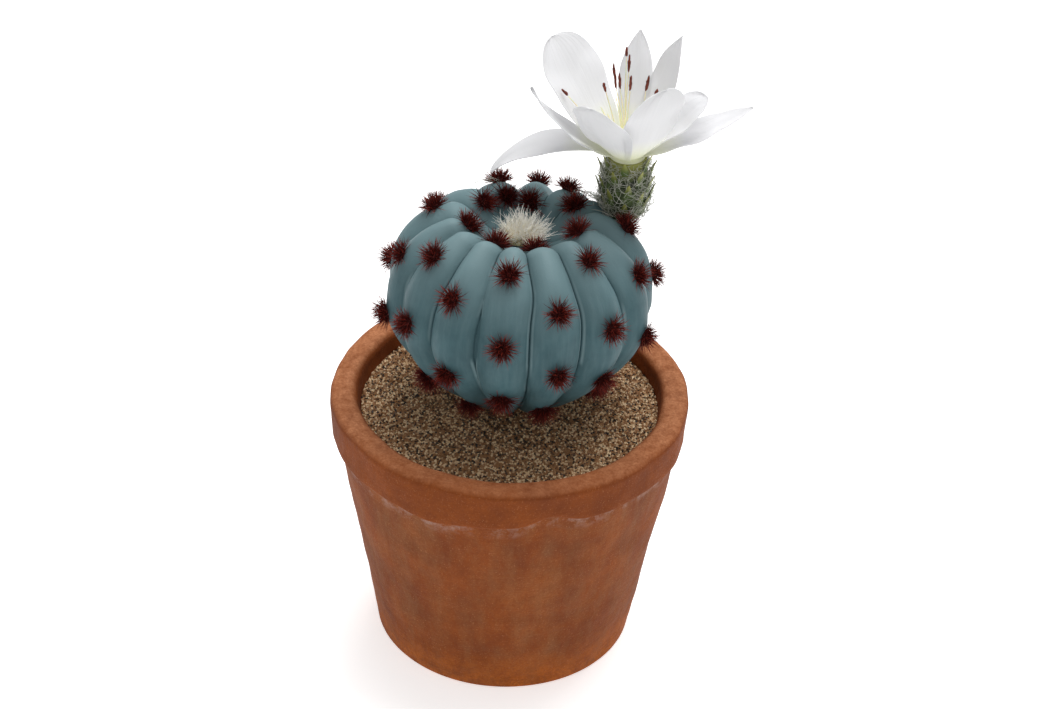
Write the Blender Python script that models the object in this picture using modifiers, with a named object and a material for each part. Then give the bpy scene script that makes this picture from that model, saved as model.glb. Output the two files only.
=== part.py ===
"""Potted succulent: a ribbed globe cactus with bristle tufts and one white flower, in a terracotta pot.

The plant is the artificial kind: a moulded body, glued bristles, a woolly crown and a fabric bloom.
Everything is in metres, +Z up, with the origin at the middle of the pot's underside and -Y the front.
"""

import math
import random

import bmesh
import bpy
from mathutils import Matrix, Vector

MM = 0.001
GAP = 0.3 * MM
SEED = 14

POT_HEIGHT = 94.4 * MM
POT_RIM_RADIUS = 60.0 * MM
POT_RIM_WALL = 8.7 * MM
POT_BAND_HEIGHT = 14.1 * MM
POT_BAND_STEP = 1.7 * MM
POT_BASE_RADIUS = 44.3 * MM
POT_FLOOR = 8.0 * MM
POT_BASE_INSIDE = 36.5 * MM
POT_EDGE = 1.8 * MM
POT_UNDERCUT = 0.4 * MM
POT_FLOOR_CORNER = 2.0 * MM
TURN_STEPS = 60

SAND_EDGE_HEIGHT = 87.5 * MM
SAND_MOUND = 2.3 * MM
SAND_HOLE_FLOOR = 68.0 * MM
SAND_FOOT_CORNER = 2.5 * MM

BODY_CENTRE = (1.9 * MM, 3.0 * MM, 127.6 * MM)
BODY_TILT_BACK = math.radians(-3.5)
BODY_TILT_SIDE = math.radians(0.6)
BODY_RADIUS = 44.2 * MM
BODY_TOP = 34.2 * MM
BODY_BOTTOM = 39.0 * MM
BODY_TOP_SQUARENESS = 2.6
BODY_BOTTOM_SQUARENESS = 1.6
RIB_DEPTH = 3.8 * MM
RIB_ROUNDNESS = 0.7
RIB_COLUMNS = (-0.34, -0.17, 0.0, 0.17, 0.34, 0.5)
CROWN_RADIUS = 25.0 * MM
CROWN_DEPTH = 11.0 * MM
CROWN_FLOOR = 7.5 * MM
NECK_RADIUS = 8.5 * MM
NECK_FOOT = 69.0 * MM
CROWN_ROW_FIRST = 4.0 * MM
CROWN_ROW_LAST = 28.0 * MM
CROWN_ROWS = 9
FLANK_ROWS = 12
LAST_ROW_SHARE = 0.925

TUFT_CORE = 2.2 * MM
TUFT_SINK = 2.4 * MM
TUFT_STEEPNESS = 1.7
BRISTLE_LENGTH = 3.8 * MM

WOOL_RADIUS = 6.8 * MM
WOOL_HEIGHT = 1.6 * MM
WOOL_HAIR = 3.2 * MM

FLOWER_X = 35.3 * MM
FLOWER_Y = 21.0 * MM
TUBE_FOOT = 149.0 * MM
TUBE_TOP = 171.5 * MM
TUBE_RADIUS = 8.0 * MM
TUBE_MOUTH_RADIUS = 6.3 * MM
TUBE_ROWS = 10
SOCKET_TOP = 158.0 * MM
SCALE_RINGS = 3
SCALES_PER_RING = 6
SCALE_LENGTH = 6.0 * MM
SCALE_RADIUS = 1.5 * MM
SCALE_FLATNESS = 0.45
SCALE_LEAN = math.radians(28)
SCALE_FIRST = 0.38
SCALE_STEP = 0.21

PEG_RADIUS = 3.0 * MM
PEG_LENGTH = 5.0 * MM
CUP_RADIUS = 5.4 * MM
CUP_HEIGHT = 2.8 * MM
CUP_FLOOR = 0.8 * MM
CUP_LIP = 1.2 * MM
PETAL_RING = 3.9 * MM
PETAL_ROOT_HEIGHT = 1.7 * MM
PETAL_THICKNESS = 0.7 * MM
PETAL_ROWS = 9
PETAL_COLUMNS = 4
STAMEN_FOOT_RADIUS = 2.3 * MM
STAMEN_FOOT_HEIGHT = 2.8 * MM
STAMEN_ROOT_DEPTH = 1.0 * MM
FILAMENT_RADIUS = 0.35 * MM
ANTHER_RADIUS = 0.75 * MM

# Each rib from the front one round: bearing of its crest in degrees, and where its bristle tufts sit,
# as degrees down the body's profile from the top. The flower takes one tuft's place on the sixth rib.
RIBS = (
    (-6, (43, 83, 119)),
    (18, (13, 65, 98, 133)),
    (43, (40, 80, 111)),
    (69, (20, 62, 96, 135)),
    (98, (45, 80, 117)),
    (122, (21, 99, 136)),
    (147, (31, 84, 118)),
    (172, (16, 45, 96, 134)),
    (198, (18, 33, 83, 119)),
    (226, (18, 62, 98, 135)),
    (255, (37, 82, 117)),
    (284, (18, 60, 93, 134)),
    (307, (46, 86, 124)),
    (329, (15, 63, 106, 137)),
)

# Each petal: bearing from the front in degrees, rise at its root and at its tip in degrees, length and
# width in millimetres, where it is widest, how blunt its tip is (lower is blunter), and how cupped.
PETALS = {
    "back_left": (-119, 46, 56, 43, 26, 0.72, 0.36, 0.16),
    "back": (173, 62, 62, 39, 11, 0.60, 0.80, 0.25),
    "back_right": (126, 62, 74, 41, 13, 0.62, 0.90, 0.25),
    "right_inner": (107, 42, 36, 30, 18, 0.70, 0.42, 0.20),
    "right_long": (93, 20, 34, 41, 13, 0.50, 0.80, 0.20),
    "front_right": (42, 48, 80, 38, 20, 0.68, 0.50, 0.20),
    "front_left": (-22, 42, 78, 31, 18, 0.66, 0.50, 0.20),
    "left_side": (-80, 20, 66, 40, 14, 0.45, 1.40, 0.20),
    "left_droop": (-94, 26, -54, 45, 14, 0.55, 0.60, 0.12),
}

# Each stamen: bearing from the front in degrees, lean from upright in degrees, length and anther length
# in millimetres.
STAMENS = (
    (-167, 12, 34, 3.0),
    (-160, 3, 33, 5.0),
    (-8, 5, 30, 5.8),
    (-126, 11, 30, 8.5),
    (-64, 6, 30, 6.0),
    (-90, 16, 26, 3.0),
    (-93, 42, 29, 2.8),
    (112, 9, 27, 5.4),
    (83, 15, 25, 2.4),
)


def clear_scene():
    for obj in list(bpy.data.objects):
        bpy.data.objects.remove(obj, do_unlink=True)


def make_collection(name):
    collection = bpy.data.collections.new(name)
    bpy.context.scene.collection.children.link(collection)
    return collection


def make_material(name, colour, roughness):
    """A plain Principled material; colour is linear RGB."""
    material = bpy.data.materials.new(name)
    material.use_nodes = True
    shader = material.node_tree.nodes["Principled BSDF"]
    shader.inputs["Base Color"].default_value = (*colour, 1.0)
    shader.inputs["Roughness"].default_value = roughness
    shader.inputs["Metallic"].default_value = 0.0
    material.diffuse_color = (*colour, 1.0)
    return material


def add_object(name, mesh, collection):
    obj = bpy.data.objects.new(name, mesh)
    collection.objects.link(obj)
    return obj


def object_from_bmesh(name, shape, collection):
    mesh = bpy.data.meshes.new(name)
    shape.to_mesh(mesh)
    shape.free()
    return add_object(name, mesh, collection)


def finish(obj, material, sharp_angle=40.0):
    """Gives a piece its material and smooth shading, with edges over sharp_angle degrees kept crisp."""
    obj.data.materials.clear()
    obj.data.materials.append(material)
    obj.data.shade_smooth()
    obj.data.set_sharp_from_angle(angle=math.radians(sharp_angle))


def apply_modifiers(obj):
    """Replaces the mesh by its evaluated form, with the modifiers gone."""
    graph = bpy.context.evaluated_depsgraph_get()
    mesh = bpy.data.meshes.new_from_object(obj.evaluated_get(graph))
    obj.modifiers.clear()
    obj.data = mesh


def turned(name, profile, collection, steps=TURN_STEPS):
    """Turns a profile of (radius, height) points about Z; its outer side runs from top to bottom."""
    mesh = bpy.data.meshes.new(name)
    points = [(radius, 0.0, height) for radius, height in profile]
    mesh.from_pydata(points, [(i, i + 1) for i in range(len(points) - 1)], [])
    obj = add_object(name, mesh, collection)
    screw = obj.modifiers.new("Turn", "SCREW")
    screw.axis = "Z"
    screw.steps = steps
    screw.render_steps = steps
    screw.use_merge_vertices = True
    screw.merge_threshold = 0.00001
    return obj


def cylinder_cutter(name, radius, low, high, x, y, collection, sides=32):
    shape = bmesh.new()
    bmesh.ops.create_cone(
        shape, cap_ends=True, segments=sides, radius1=radius, radius2=radius, depth=high - low
    )
    obj = object_from_bmesh(name, shape, collection)
    obj.location = (x, y, (low + high) / 2)
    obj.hide_render = True
    obj.display_type = "WIRE"
    return obj


def cut(obj, cutter):
    hole = obj.modifiers.new("Hole", "BOOLEAN")
    hole.operation = "DIFFERENCE"
    hole.object = cutter


def fuse(obj, extras):
    """Joins every object of a collection to this one in a single union and removes them."""
    union = obj.modifiers.new("Union", "BOOLEAN")
    union.operation = "UNION"
    union.operand_type = "COLLECTION"
    union.collection = extras
    union.solver = "MANIFOLD"
    apply_modifiers(obj)
    for extra in list(extras.objects):
        bpy.data.objects.remove(extra, do_unlink=True)
    bpy.data.collections.remove(extras)


def pot_inside_radius(height):
    """Radius of the pot's inner wall, a straight cone from its floor to its lip."""
    share = (height - POT_FLOOR) / (POT_HEIGHT - POT_FLOOR)
    return POT_BASE_INSIDE + share * (POT_RIM_RADIUS - POT_RIM_WALL - POT_BASE_INSIDE)


def make_pot(collection, material):
    """Thrown terracotta pot with a plain band round its rim and rounded lips."""
    lip = POT_HEIGHT - POT_EDGE
    band_foot = POT_HEIGHT - POT_BAND_HEIGHT
    under_band = POT_RIM_RADIUS - POT_BAND_STEP - POT_UNDERCUT
    inner_lip = pot_inside_radius(lip)
    profile = [
        (0.0, POT_FLOOR),
        (POT_BASE_INSIDE - POT_FLOOR_CORNER, POT_FLOOR),
        (pot_inside_radius(POT_FLOOR + POT_FLOOR_CORNER), POT_FLOOR + POT_FLOOR_CORNER),
        (pot_inside_radius(POT_HEIGHT / 2), POT_HEIGHT / 2),
        (inner_lip, lip),
        (inner_lip + 0.8 * MM, POT_HEIGHT - 0.5 * MM),
        (inner_lip + 2.2 * MM, POT_HEIGHT),
        (POT_RIM_RADIUS - POT_EDGE, POT_HEIGHT),
        (POT_RIM_RADIUS - 0.5 * MM, POT_HEIGHT - 0.6 * MM),
        (POT_RIM_RADIUS, lip),
        (POT_RIM_RADIUS - 0.3 * MM, band_foot + 0.9 * MM),
        (POT_RIM_RADIUS - 1.0 * MM, band_foot),
        (under_band, band_foot - 0.3 * MM),
        (POT_BASE_RADIUS + 0.3 * MM, 1.2 * MM),
        (POT_BASE_RADIUS - 1.0 * MM, 0.0),
        (0.0, 0.0),
    ]
    pot = turned("pot", profile, collection)
    finish(pot, material)
    return pot


def make_sand(collection, cutters, material):
    """Sand that fills the pot, heaped a little round the plant, with a plain hole where its neck stands."""
    rise = (
        (0.0, 1.0),
        (22 * MM, 0.95),
        (32 * MM, 0.60),
        (41 * MM, 0.15),
        (46 * MM, 0.0),
    )
    top = [(radius, SAND_EDGE_HEIGHT + SAND_MOUND * share) for radius, share in rise]
    foot = POT_FLOOR + GAP
    profile = top + [
        (pot_inside_radius(SAND_EDGE_HEIGHT) - GAP, SAND_EDGE_HEIGHT),
        (pot_inside_radius(foot + SAND_FOOT_CORNER) - GAP, foot + SAND_FOOT_CORNER),
        (POT_BASE_INSIDE - SAND_FOOT_CORNER, foot),
        (0.0, foot),
    ]
    sand = turned("sand", profile, collection)
    hole = cylinder_cutter(
        "sand_hole",
        NECK_RADIUS + GAP,
        SAND_HOLE_FLOOR,
        POT_HEIGHT + 10 * MM,
        BODY_CENTRE[0],
        BODY_CENTRE[1],
        cutters,
    )
    cut(sand, hole)
    finish(sand, material)
    return sand


def body_matrix():
    """Where the plant's own frame stands in the pot: lifted, and leaning slightly back."""
    lean = Matrix.Rotation(BODY_TILT_BACK, 4, "X") @ Matrix.Rotation(BODY_TILT_SIDE, 4, "Y")
    return Matrix.Translation(BODY_CENTRE) @ lean


def rib_bearing(place):
    """Bearing of a place counted in ribs from the front one, in between for a share of a rib."""
    rib = math.floor(place)
    here = RIBS[rib % len(RIBS)][0] + 360 * (rib // len(RIBS))
    after = RIBS[(rib + 1) % len(RIBS)][0] + 360 * ((rib + 1) // len(RIBS))
    return math.radians(here + (after - here) * (place - rib))


def body_profile(turn):
    """Radius, height and outward normal (radial, upward) of the ribs' crest line.

    turn runs from 0 at the top of the axis to pi at the bottom. The line is a superellipse, squarer
    above its widest place than below, with a hollow sunk into the crown.
    """
    upper = math.cos(turn) > 0
    squareness = BODY_TOP_SQUARENESS if upper else BODY_BOTTOM_SQUARENESS
    reach = BODY_TOP if upper else BODY_BOTTOM
    radius = BODY_RADIUS * abs(math.sin(turn)) ** (2 / squareness)
    height = math.copysign(reach * abs(math.cos(turn)) ** (2 / squareness), math.cos(turn))
    out = (radius / BODY_RADIUS) ** (squareness - 1) / BODY_RADIUS
    up = math.copysign(abs(height / reach) ** (squareness - 1) / reach, height)
    size = math.hypot(out, up)
    if upper:
        share = min(max((CROWN_RADIUS - radius) / (CROWN_RADIUS - CROWN_FLOOR), 0.0), 1.0)
        height -= CROWN_DEPTH * share * share * (3 - 2 * share)
    return radius, height, out / size, up / size


def turn_at_height(height):
    """The profile's turn at a height of the plain superellipse."""
    upper = height > 0
    squareness = BODY_TOP_SQUARENESS if upper else BODY_BOTTOM_SQUARENESS
    reach = BODY_TOP if upper else BODY_BOTTOM
    cosine = min(abs(height) / reach, 1.0) ** (squareness / 2)
    return math.acos(math.copysign(cosine, height))


def body_point(turn, place):
    """A point of the ribbed surface, in the plant's own frame; whole places are crests, halves valleys."""
    radius, height, out, up = body_profile(turn)
    fullness = min(radius / (0.6 * BODY_RADIUS), 1.0)
    depth = RIB_DEPTH * fullness * (1 - abs(math.cos(math.pi * place)) ** RIB_ROUNDNESS)
    bearing = rib_bearing(place)
    radius = max(radius - depth * out, 0.0)
    return Vector((radius * math.sin(bearing), -radius * math.cos(bearing), height - depth * up))


def body_normal(turn, place):
    """Outward normal of the ribbed surface near a crest, by differences."""
    step = 0.02
    down = body_point(turn + step, place) - body_point(turn - step, place)
    round_it = body_point(turn, place + step) - body_point(turn, place - step)
    return down.cross(round_it).normalized()


def body_turns():
    """The rows of the ribbed surface: even steps of radius over the crown, then even turns to the neck."""
    step = (CROWN_ROW_LAST - CROWN_ROW_FIRST) / (CROWN_ROWS - 1)
    turns = [turn_at_radius(CROWN_ROW_FIRST + step * row) for row in range(CROWN_ROWS)]
    first = turns[-1]
    last = turn_at_height(-BODY_BOTTOM * LAST_ROW_SHARE)
    turns += [first + (last - first) * (row + 1) / FLANK_ROWS for row in range(FLANK_ROWS)]
    return turns


def ribbed_loft():
    """The moulded body and its neck as one closed skin, in world space."""
    places = [rib + column for rib in range(len(RIBS)) for column in RIB_COLUMNS]
    to_world = body_matrix()
    shape = bmesh.new()
    rings = []
    for turn in body_turns():
        rings.append([shape.verts.new(to_world @ body_point(turn, place)) for place in places])
    for height in (SAND_EDGE_HEIGHT + SAND_MOUND + 2 * GAP, NECK_FOOT):
        ring = []
        for place in places:
            bearing = rib_bearing(place)
            x = BODY_CENTRE[0] + NECK_RADIUS * math.sin(bearing)
            y = BODY_CENTRE[1] - NECK_RADIUS * math.cos(bearing)
            ring.append(shape.verts.new((x, y, height)))
        rings.append(ring)
    count = len(places)
    for upper, lower in zip(rings, rings[1:]):
        for i in range(count):
            after = (i + 1) % count
            shape.faces.new((upper[i], lower[i], lower[after], upper[after]))
    shape.faces.new(rings[0])
    shape.faces.new(list(reversed(rings[-1])))
    bmesh.ops.triangulate(shape, faces=[face for face in shape.faces if len(face.verts) > 4])
    bmesh.ops.recalc_face_normals(shape, faces=shape.faces)
    return shape


def burr(draw):
    """A small steep dome whose faces are each drawn out to a three-sided bristle, on a sunk base."""
    shape = bmesh.new()
    bmesh.ops.create_icosphere(shape, subdivisions=2, radius=TUFT_CORE)
    below = [face for face in shape.faces if face.calc_center_median().z < TUFT_CORE / 2]
    bmesh.ops.delete(shape, geom=below, context="FACES")
    bmesh.ops.scale(shape, vec=(1.0, 1.0, TUFT_STEEPNESS), verts=shape.verts)
    spin = Matrix.Rotation(draw.uniform(0, math.pi), 3, "Z")
    bmesh.ops.rotate(shape, matrix=spin, verts=shape.verts)
    shape.normal_update()
    upper = list(shape.faces)
    bmesh.ops.holes_fill(shape, edges=[edge for edge in shape.edges if edge.is_boundary])
    for face in upper:
        normal = face.normal.copy()
        tip = bmesh.ops.poke(shape, faces=[face])["verts"][0]
        reach = BRISTLE_LENGTH * draw.uniform(0.75, 1.15)
        tip.co += normal * reach
        tip.co += Vector([draw.uniform(-0.2, 0.2) * reach for _ in range(3)])
    bmesh.ops.translate(shape, vec=(0, 0, -TUFT_SINK), verts=shape.verts)
    return shape


def turn_at_radius(radius):
    """The upper half's turn at a radius from the axis."""
    return math.asin((radius / BODY_RADIUS) ** (BODY_TOP_SQUARENESS / 2))


def tuft_places():
    """(rib, turn of the profile) of every tuft."""
    for rib, (_, turns) in enumerate(RIBS):
        for turn in turns:
            yield rib, math.radians(turn)


def make_tufts(extras):
    """One bristle tuft at each place, standing along the surface's normal."""
    draw = random.Random(SEED)
    to_world = body_matrix()
    for number, (rib, turn) in enumerate(tuft_places()):
        shape = burr(draw)
        tuft = object_from_bmesh(f"tuft_{number}", shape, extras)
        facing = body_normal(turn, rib).to_track_quat("Z", "Y").to_matrix().to_4x4()
        tuft.matrix_world = to_world @ Matrix.Translation(body_point(turn, rib)) @ facing


def socket_cutter(cutters):
    """A plain seat for the flower tube's foot, shaped like the foot and a little wider all round."""
    side = tube_outline(TUBE_FOOT - GAP, SOCKET_TOP, GAP)
    profile = [(0.0, SOCKET_TOP)] + side + [(0.0, TUBE_FOOT - GAP)]
    cutter = turned("flower_socket", profile, cutters, steps=24)
    cutter.location = (FLOWER_X, FLOWER_Y, 0)
    cutter.hide_render = True
    cutter.display_type = "WIRE"
    return cutter


def make_body(collection, cutters, material):
    """The ribbed globe with its bristle tufts, and a plain socket for the flower."""
    body = object_from_bmesh("cactus_body", ribbed_loft(), collection)
    extras = make_collection("tufts")
    make_tufts(extras)
    bpy.context.view_layer.update()
    fuse(body, extras)
    cut(body, socket_cutter(cutters))
    finish(body, material, 50.0)
    return body


def make_wool(collection, material):
    """The woolly pad in the hollow of the crown: a low dome with hairs standing out of it."""
    draw = random.Random(SEED + 1)
    shape = bmesh.new()
    bmesh.ops.create_icosphere(shape, subdivisions=3, radius=WOOL_RADIUS)
    for vert in shape.verts:
        vert.co.z = max(vert.co.z, 0.0) * WOOL_HEIGHT / WOOL_RADIUS
    bmesh.ops.remove_doubles(shape, verts=shape.verts, dist=0.01 * MM)
    shape.normal_update()
    for face in [face for face in shape.faces if face.normal.z > 0.3]:
        outward = face.calc_center_median() / WOOL_RADIUS
        tip = bmesh.ops.poke(shape, faces=[face])["verts"][0]
        reach = WOOL_HAIR * draw.uniform(0.5, 1.3)
        tip.co += Vector((outward.x * 0.35, outward.y * 0.35, 1.0)) * reach
        tip.co += Vector((draw.uniform(-0.2, 0.2), draw.uniform(-0.2, 0.2), 0.0)) * reach
    floor = body_profile(0.05)[1]
    place = body_matrix() @ Matrix.Translation((0, 0, floor + 1.5 * GAP))
    bmesh.ops.transform(shape, matrix=place, verts=shape.verts)
    wool = object_from_bmesh("crown_wool", shape, collection)
    finish(wool, material, 180.0)
    return wool


def tube_radius(height):
    """Outline of the flower tube: round at its foot, full in the middle, a little drawn in at its mouth."""
    share = (height - TUBE_FOOT) / (TUBE_TOP - TUBE_FOOT)
    if share < 0.5:
        return TUBE_RADIUS * math.sqrt(max(1 - (1 - 2 * max(share, 0.0)) ** 2.2, 0.0))
    return TUBE_RADIUS - (TUBE_RADIUS - TUBE_MOUTH_RADIUS) * (2 * share - 1) ** 2


def tube_outline(low, high, clearance):
    """Points (radius, height) down the tube's side, closer together at its round foot."""
    shares = [1 - (row / TUBE_ROWS) ** 0.6 for row in range(TUBE_ROWS)]
    heights = [low + (high - low) * share**1.5 for share in shares]
    return [(tube_radius(height) + clearance, height) for height in heights]


def make_scales(extras):
    """Small pointed scales in staggered rings round the flower tube."""
    for ring in range(SCALE_RINGS):
        height = TUBE_FOOT + (SCALE_FIRST + ring * SCALE_STEP) * (TUBE_TOP - TUBE_FOOT)
        for number in range(SCALES_PER_RING):
            bearing = 2 * math.pi * (number + 0.5 * (ring % 2)) / SCALES_PER_RING
            shape = bmesh.new()
            bmesh.ops.create_cone(
                shape, cap_ends=True, segments=4, radius1=SCALE_RADIUS, radius2=0.0, depth=SCALE_LENGTH
            )
            bmesh.ops.scale(shape, vec=(1.0, SCALE_FLATNESS, 1.0), verts=shape.verts)
            scale = object_from_bmesh(f"scale_{ring}_{number}", shape, extras)
            reach = tube_radius(height) + 0.2 * MM
            x = FLOWER_X + reach * math.sin(bearing)
            y = FLOWER_Y - reach * math.cos(bearing)
            spot = Vector((x, y, height))
            lean = Matrix.Rotation(bearing, 4, "Z") @ Matrix.Rotation(SCALE_LEAN, 4, "X")
            lift = Matrix.Translation((0, 0, SCALE_LENGTH / 4))
            scale.matrix_world = Matrix.Translation(spot) @ lean @ lift


def make_flower_tube(collection, material):
    """The green tube under the flower: its foot sits in the body, and a plain hole takes the petals' peg."""
    profile = [
        (0.0, TUBE_TOP - PEG_LENGTH - GAP),
        (PEG_RADIUS + GAP, TUBE_TOP - PEG_LENGTH - GAP),
        (PEG_RADIUS + GAP, TUBE_TOP),
    ]
    profile += tube_outline(TUBE_FOOT, TUBE_TOP, 0.0)
    profile += [(0.0, TUBE_FOOT)]
    tube = turned("flower_tube", profile, collection, steps=24)
    bpy.context.view_layer.update()
    apply_modifiers(tube)
    tube.data.transform(Matrix.Translation((FLOWER_X, FLOWER_Y, 0)))
    extras = make_collection("scales")
    make_scales(extras)
    bpy.context.view_layer.update()
    fuse(tube, extras)
    finish(tube, material)
    return tube


def petal_half_width(share, width, widest, bluntness):
    """Half the petal's width at a share of its length: it swells from the root, then closes to the tip."""
    if share < widest:
        swell = math.sin(math.pi / 2 * share / widest) ** 1.2
        return width / 2 * (0.22 + 0.78 * swell)
    closing = (share - widest) / (1 - widest)
    return width / 2 * math.cos(math.pi / 2 * min(closing, 1.0)) ** bluntness


def petal_surface(bearing, root_rise, tip_rise, length, width, widest, bluntness, cupping):
    """The petal's middle sheet: a strip that leans out along its bearing and bends as it goes."""
    bearing = math.radians(bearing)
    side = Vector((math.cos(bearing), math.sin(bearing), 0))
    out = Vector((math.sin(bearing), -math.cos(bearing), 0))
    spot = Vector((FLOWER_X, FLOWER_Y, TUBE_TOP + GAP + PETAL_ROOT_HEIGHT)) + out * PETAL_RING
    shares = [1 - (1 - row / PETAL_ROWS) ** 1.6 for row in range(PETAL_ROWS + 1)]
    shape = bmesh.new()
    rows = []
    before = 0.0
    for share in shares:
        middle = math.radians(root_rise + (tip_rise - root_rise) * (share + before) / 2)
        along = out * math.cos(middle) + Vector((0, 0, math.sin(middle)))
        spot += along * (share - before) * length * MM
        before = share
        rise = math.radians(root_rise + (tip_rise - root_rise) * share)
        inward = Vector((0, 0, math.cos(rise))) - out * math.sin(rise)
        half = petal_half_width(share, width, widest, bluntness) * MM
        row = []
        for column in range(PETAL_COLUMNS + 1):
            across = 2 * column / PETAL_COLUMNS - 1
            lift = inward * cupping * half * across**2
            row.append(shape.verts.new(spot + side * half * across + lift))
        rows.append(row)
    for lower, upper in zip(rows, rows[1:]):
        for i in range(PETAL_COLUMNS):
            shape.faces.new((lower[i], lower[i + 1], upper[i + 1], upper[i]))
    bmesh.ops.remove_doubles(shape, verts=shape.verts, dist=0.05 * MM)
    bmesh.ops.triangulate(shape, faces=shape.faces)
    return shape


def make_petals(collection, material):
    """Nine fabric petals held in a small cup, whose peg stands in the tube."""
    floor = TUBE_TOP + GAP
    profile = [
        (0.0, floor + CUP_FLOOR),
        (STAMEN_FOOT_RADIUS + GAP, floor + CUP_FLOOR),
        (STAMEN_FOOT_RADIUS + GAP, floor + CUP_HEIGHT),
        (CUP_RADIUS - CUP_LIP, floor + CUP_HEIGHT),
        (CUP_RADIUS, floor + CUP_HEIGHT / 2),
        (CUP_RADIUS - CUP_LIP, floor),
        (PEG_RADIUS, floor),
        (PEG_RADIUS, TUBE_TOP - PEG_LENGTH),
        (0.0, TUBE_TOP - PEG_LENGTH),
    ]
    petals = turned("flower_petals", profile, collection, steps=24)
    bpy.context.view_layer.update()
    apply_modifiers(petals)
    petals.data.transform(Matrix.Translation((FLOWER_X, FLOWER_Y, 0)))
    extras = make_collection("petals")
    for name, shape in PETALS.items():
        blade = object_from_bmesh(f"petal_{name}", petal_surface(*shape), extras)
        thickness = blade.modifiers.new("Thickness", "SOLIDIFY")
        thickness.thickness = PETAL_THICKNESS
        thickness.offset = 0.0
        bpy.context.view_layer.update()
        apply_modifiers(blade)
    fuse(petals, extras)
    finish(petals, material, 60.0)
    return petals


def rod(name, points, radii, collection):
    """A slim rod of four sides along a few points, as a closed mesh."""
    curve = bpy.data.curves.new(name, "CURVE")
    curve.dimensions = "3D"
    curve.bevel_depth = 1.0
    curve.bevel_resolution = 0
    curve.use_fill_caps = True
    spline = curve.splines.new("POLY")
    spline.points.add(len(points) - 1)
    for spot, point, radius in zip(spline.points, points, radii):
        spot.co = (*point, 1.0)
        spot.radius = radius
    guide = add_object(name + "_guide", curve, collection)
    bpy.context.view_layer.update()
    graph = bpy.context.evaluated_depsgraph_get()
    mesh = bpy.data.meshes.new_from_object(guide.evaluated_get(graph))
    bpy.data.objects.remove(guide, do_unlink=True)
    shape = bmesh.new()
    shape.from_mesh(mesh)
    bmesh.ops.remove_doubles(shape, verts=shape.verts, dist=0.001 * MM)
    bmesh.ops.recalc_face_normals(shape, faces=shape.faces)
    return object_from_bmesh(name, shape, collection)


def make_stamens(collection, material):
    """Filaments that fan out of a small foot in the cup, each with its long anther."""
    foot = TUBE_TOP + 2 * GAP + CUP_FLOOR
    shape = bmesh.new()
    bmesh.ops.create_cone(
        shape,
        cap_ends=True,
        segments=16,
        radius1=STAMEN_FOOT_RADIUS,
        radius2=STAMEN_FOOT_RADIUS,
        depth=STAMEN_FOOT_HEIGHT,
    )
    middle = foot + STAMEN_FOOT_HEIGHT / 2
    bmesh.ops.translate(shape, vec=(FLOWER_X, FLOWER_Y, middle), verts=shape.verts)
    stamens = object_from_bmesh("flower_stamens", shape, collection)
    extras = make_collection("stamens")
    for number, (bearing, lean, length, anther) in enumerate(STAMENS):
        bearing = math.radians(bearing)
        lean = math.radians(lean)
        out = Vector((math.sin(bearing), -math.cos(bearing), 0))
        root = Vector((FLOWER_X, FLOWER_Y, foot + STAMEN_FOOT_HEIGHT - STAMEN_ROOT_DEPTH))
        root += out * STAMEN_FOOT_RADIUS * 0.6
        along = (out * math.sin(lean) + Vector((0, 0, math.cos(lean)))).normalized()
        neck = root + along * (length - anther) * MM
        tip = root + along * length * MM
        top = neck + along * STAMEN_ROOT_DEPTH
        rod(f"filament_{number}", (root, top), (FILAMENT_RADIUS, FILAMENT_RADIUS), extras)
        middle = neck + along * anther * 0.5 * MM
        sizes = (ANTHER_RADIUS * 0.5, ANTHER_RADIUS, ANTHER_RADIUS * 0.5)
        rod(f"anther_{number}", (neck, middle, tip), sizes, extras)
    bpy.context.view_layer.update()
    fuse(stamens, extras)
    finish(stamens, material)
    return stamens


def main():
    clear_scene()
    parts = make_collection("potted_succulent")
    cutters = make_collection("cutters")
    terracotta = make_material("terracotta", (0.36, 0.13, 0.055), 0.85)
    sand = make_material("sand", (0.33, 0.25, 0.17), 0.95)
    resin = make_material("blue_green_resin", (0.10, 0.20, 0.21), 0.5)
    wool = make_material("cream_wool", (0.80, 0.72, 0.52), 0.9)
    green = make_material("green_tube", (0.16, 0.24, 0.08), 0.8)
    white = make_material("white_fabric", (0.86, 0.86, 0.86), 0.8)
    pollen = make_material("stamen_yellow", (0.62, 0.50, 0.16), 0.6)
    make_pot(parts, terracotta)
    make_sand(parts, cutters, sand)
    make_body(parts, cutters, resin)
    make_wool(parts, wool)
    make_flower_tube(parts, green)
    make_petals(parts, white)
    make_stamens(parts, pollen)


if __name__ == "__main__":
    main()
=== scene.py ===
"""Potted cactus in bloom: the looks of an artificial globe cactus in a terracotta pot of sand.

Each piece is one operator, which takes its sizes and colours from the scene's own settings.
Lengths are in metres in the solid model's frame: the pot stands on Z = 0 and -Y is the front.
"""

import math
import random

import bmesh
import bpy
from mathutils import Matrix, Vector, noise


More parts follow.
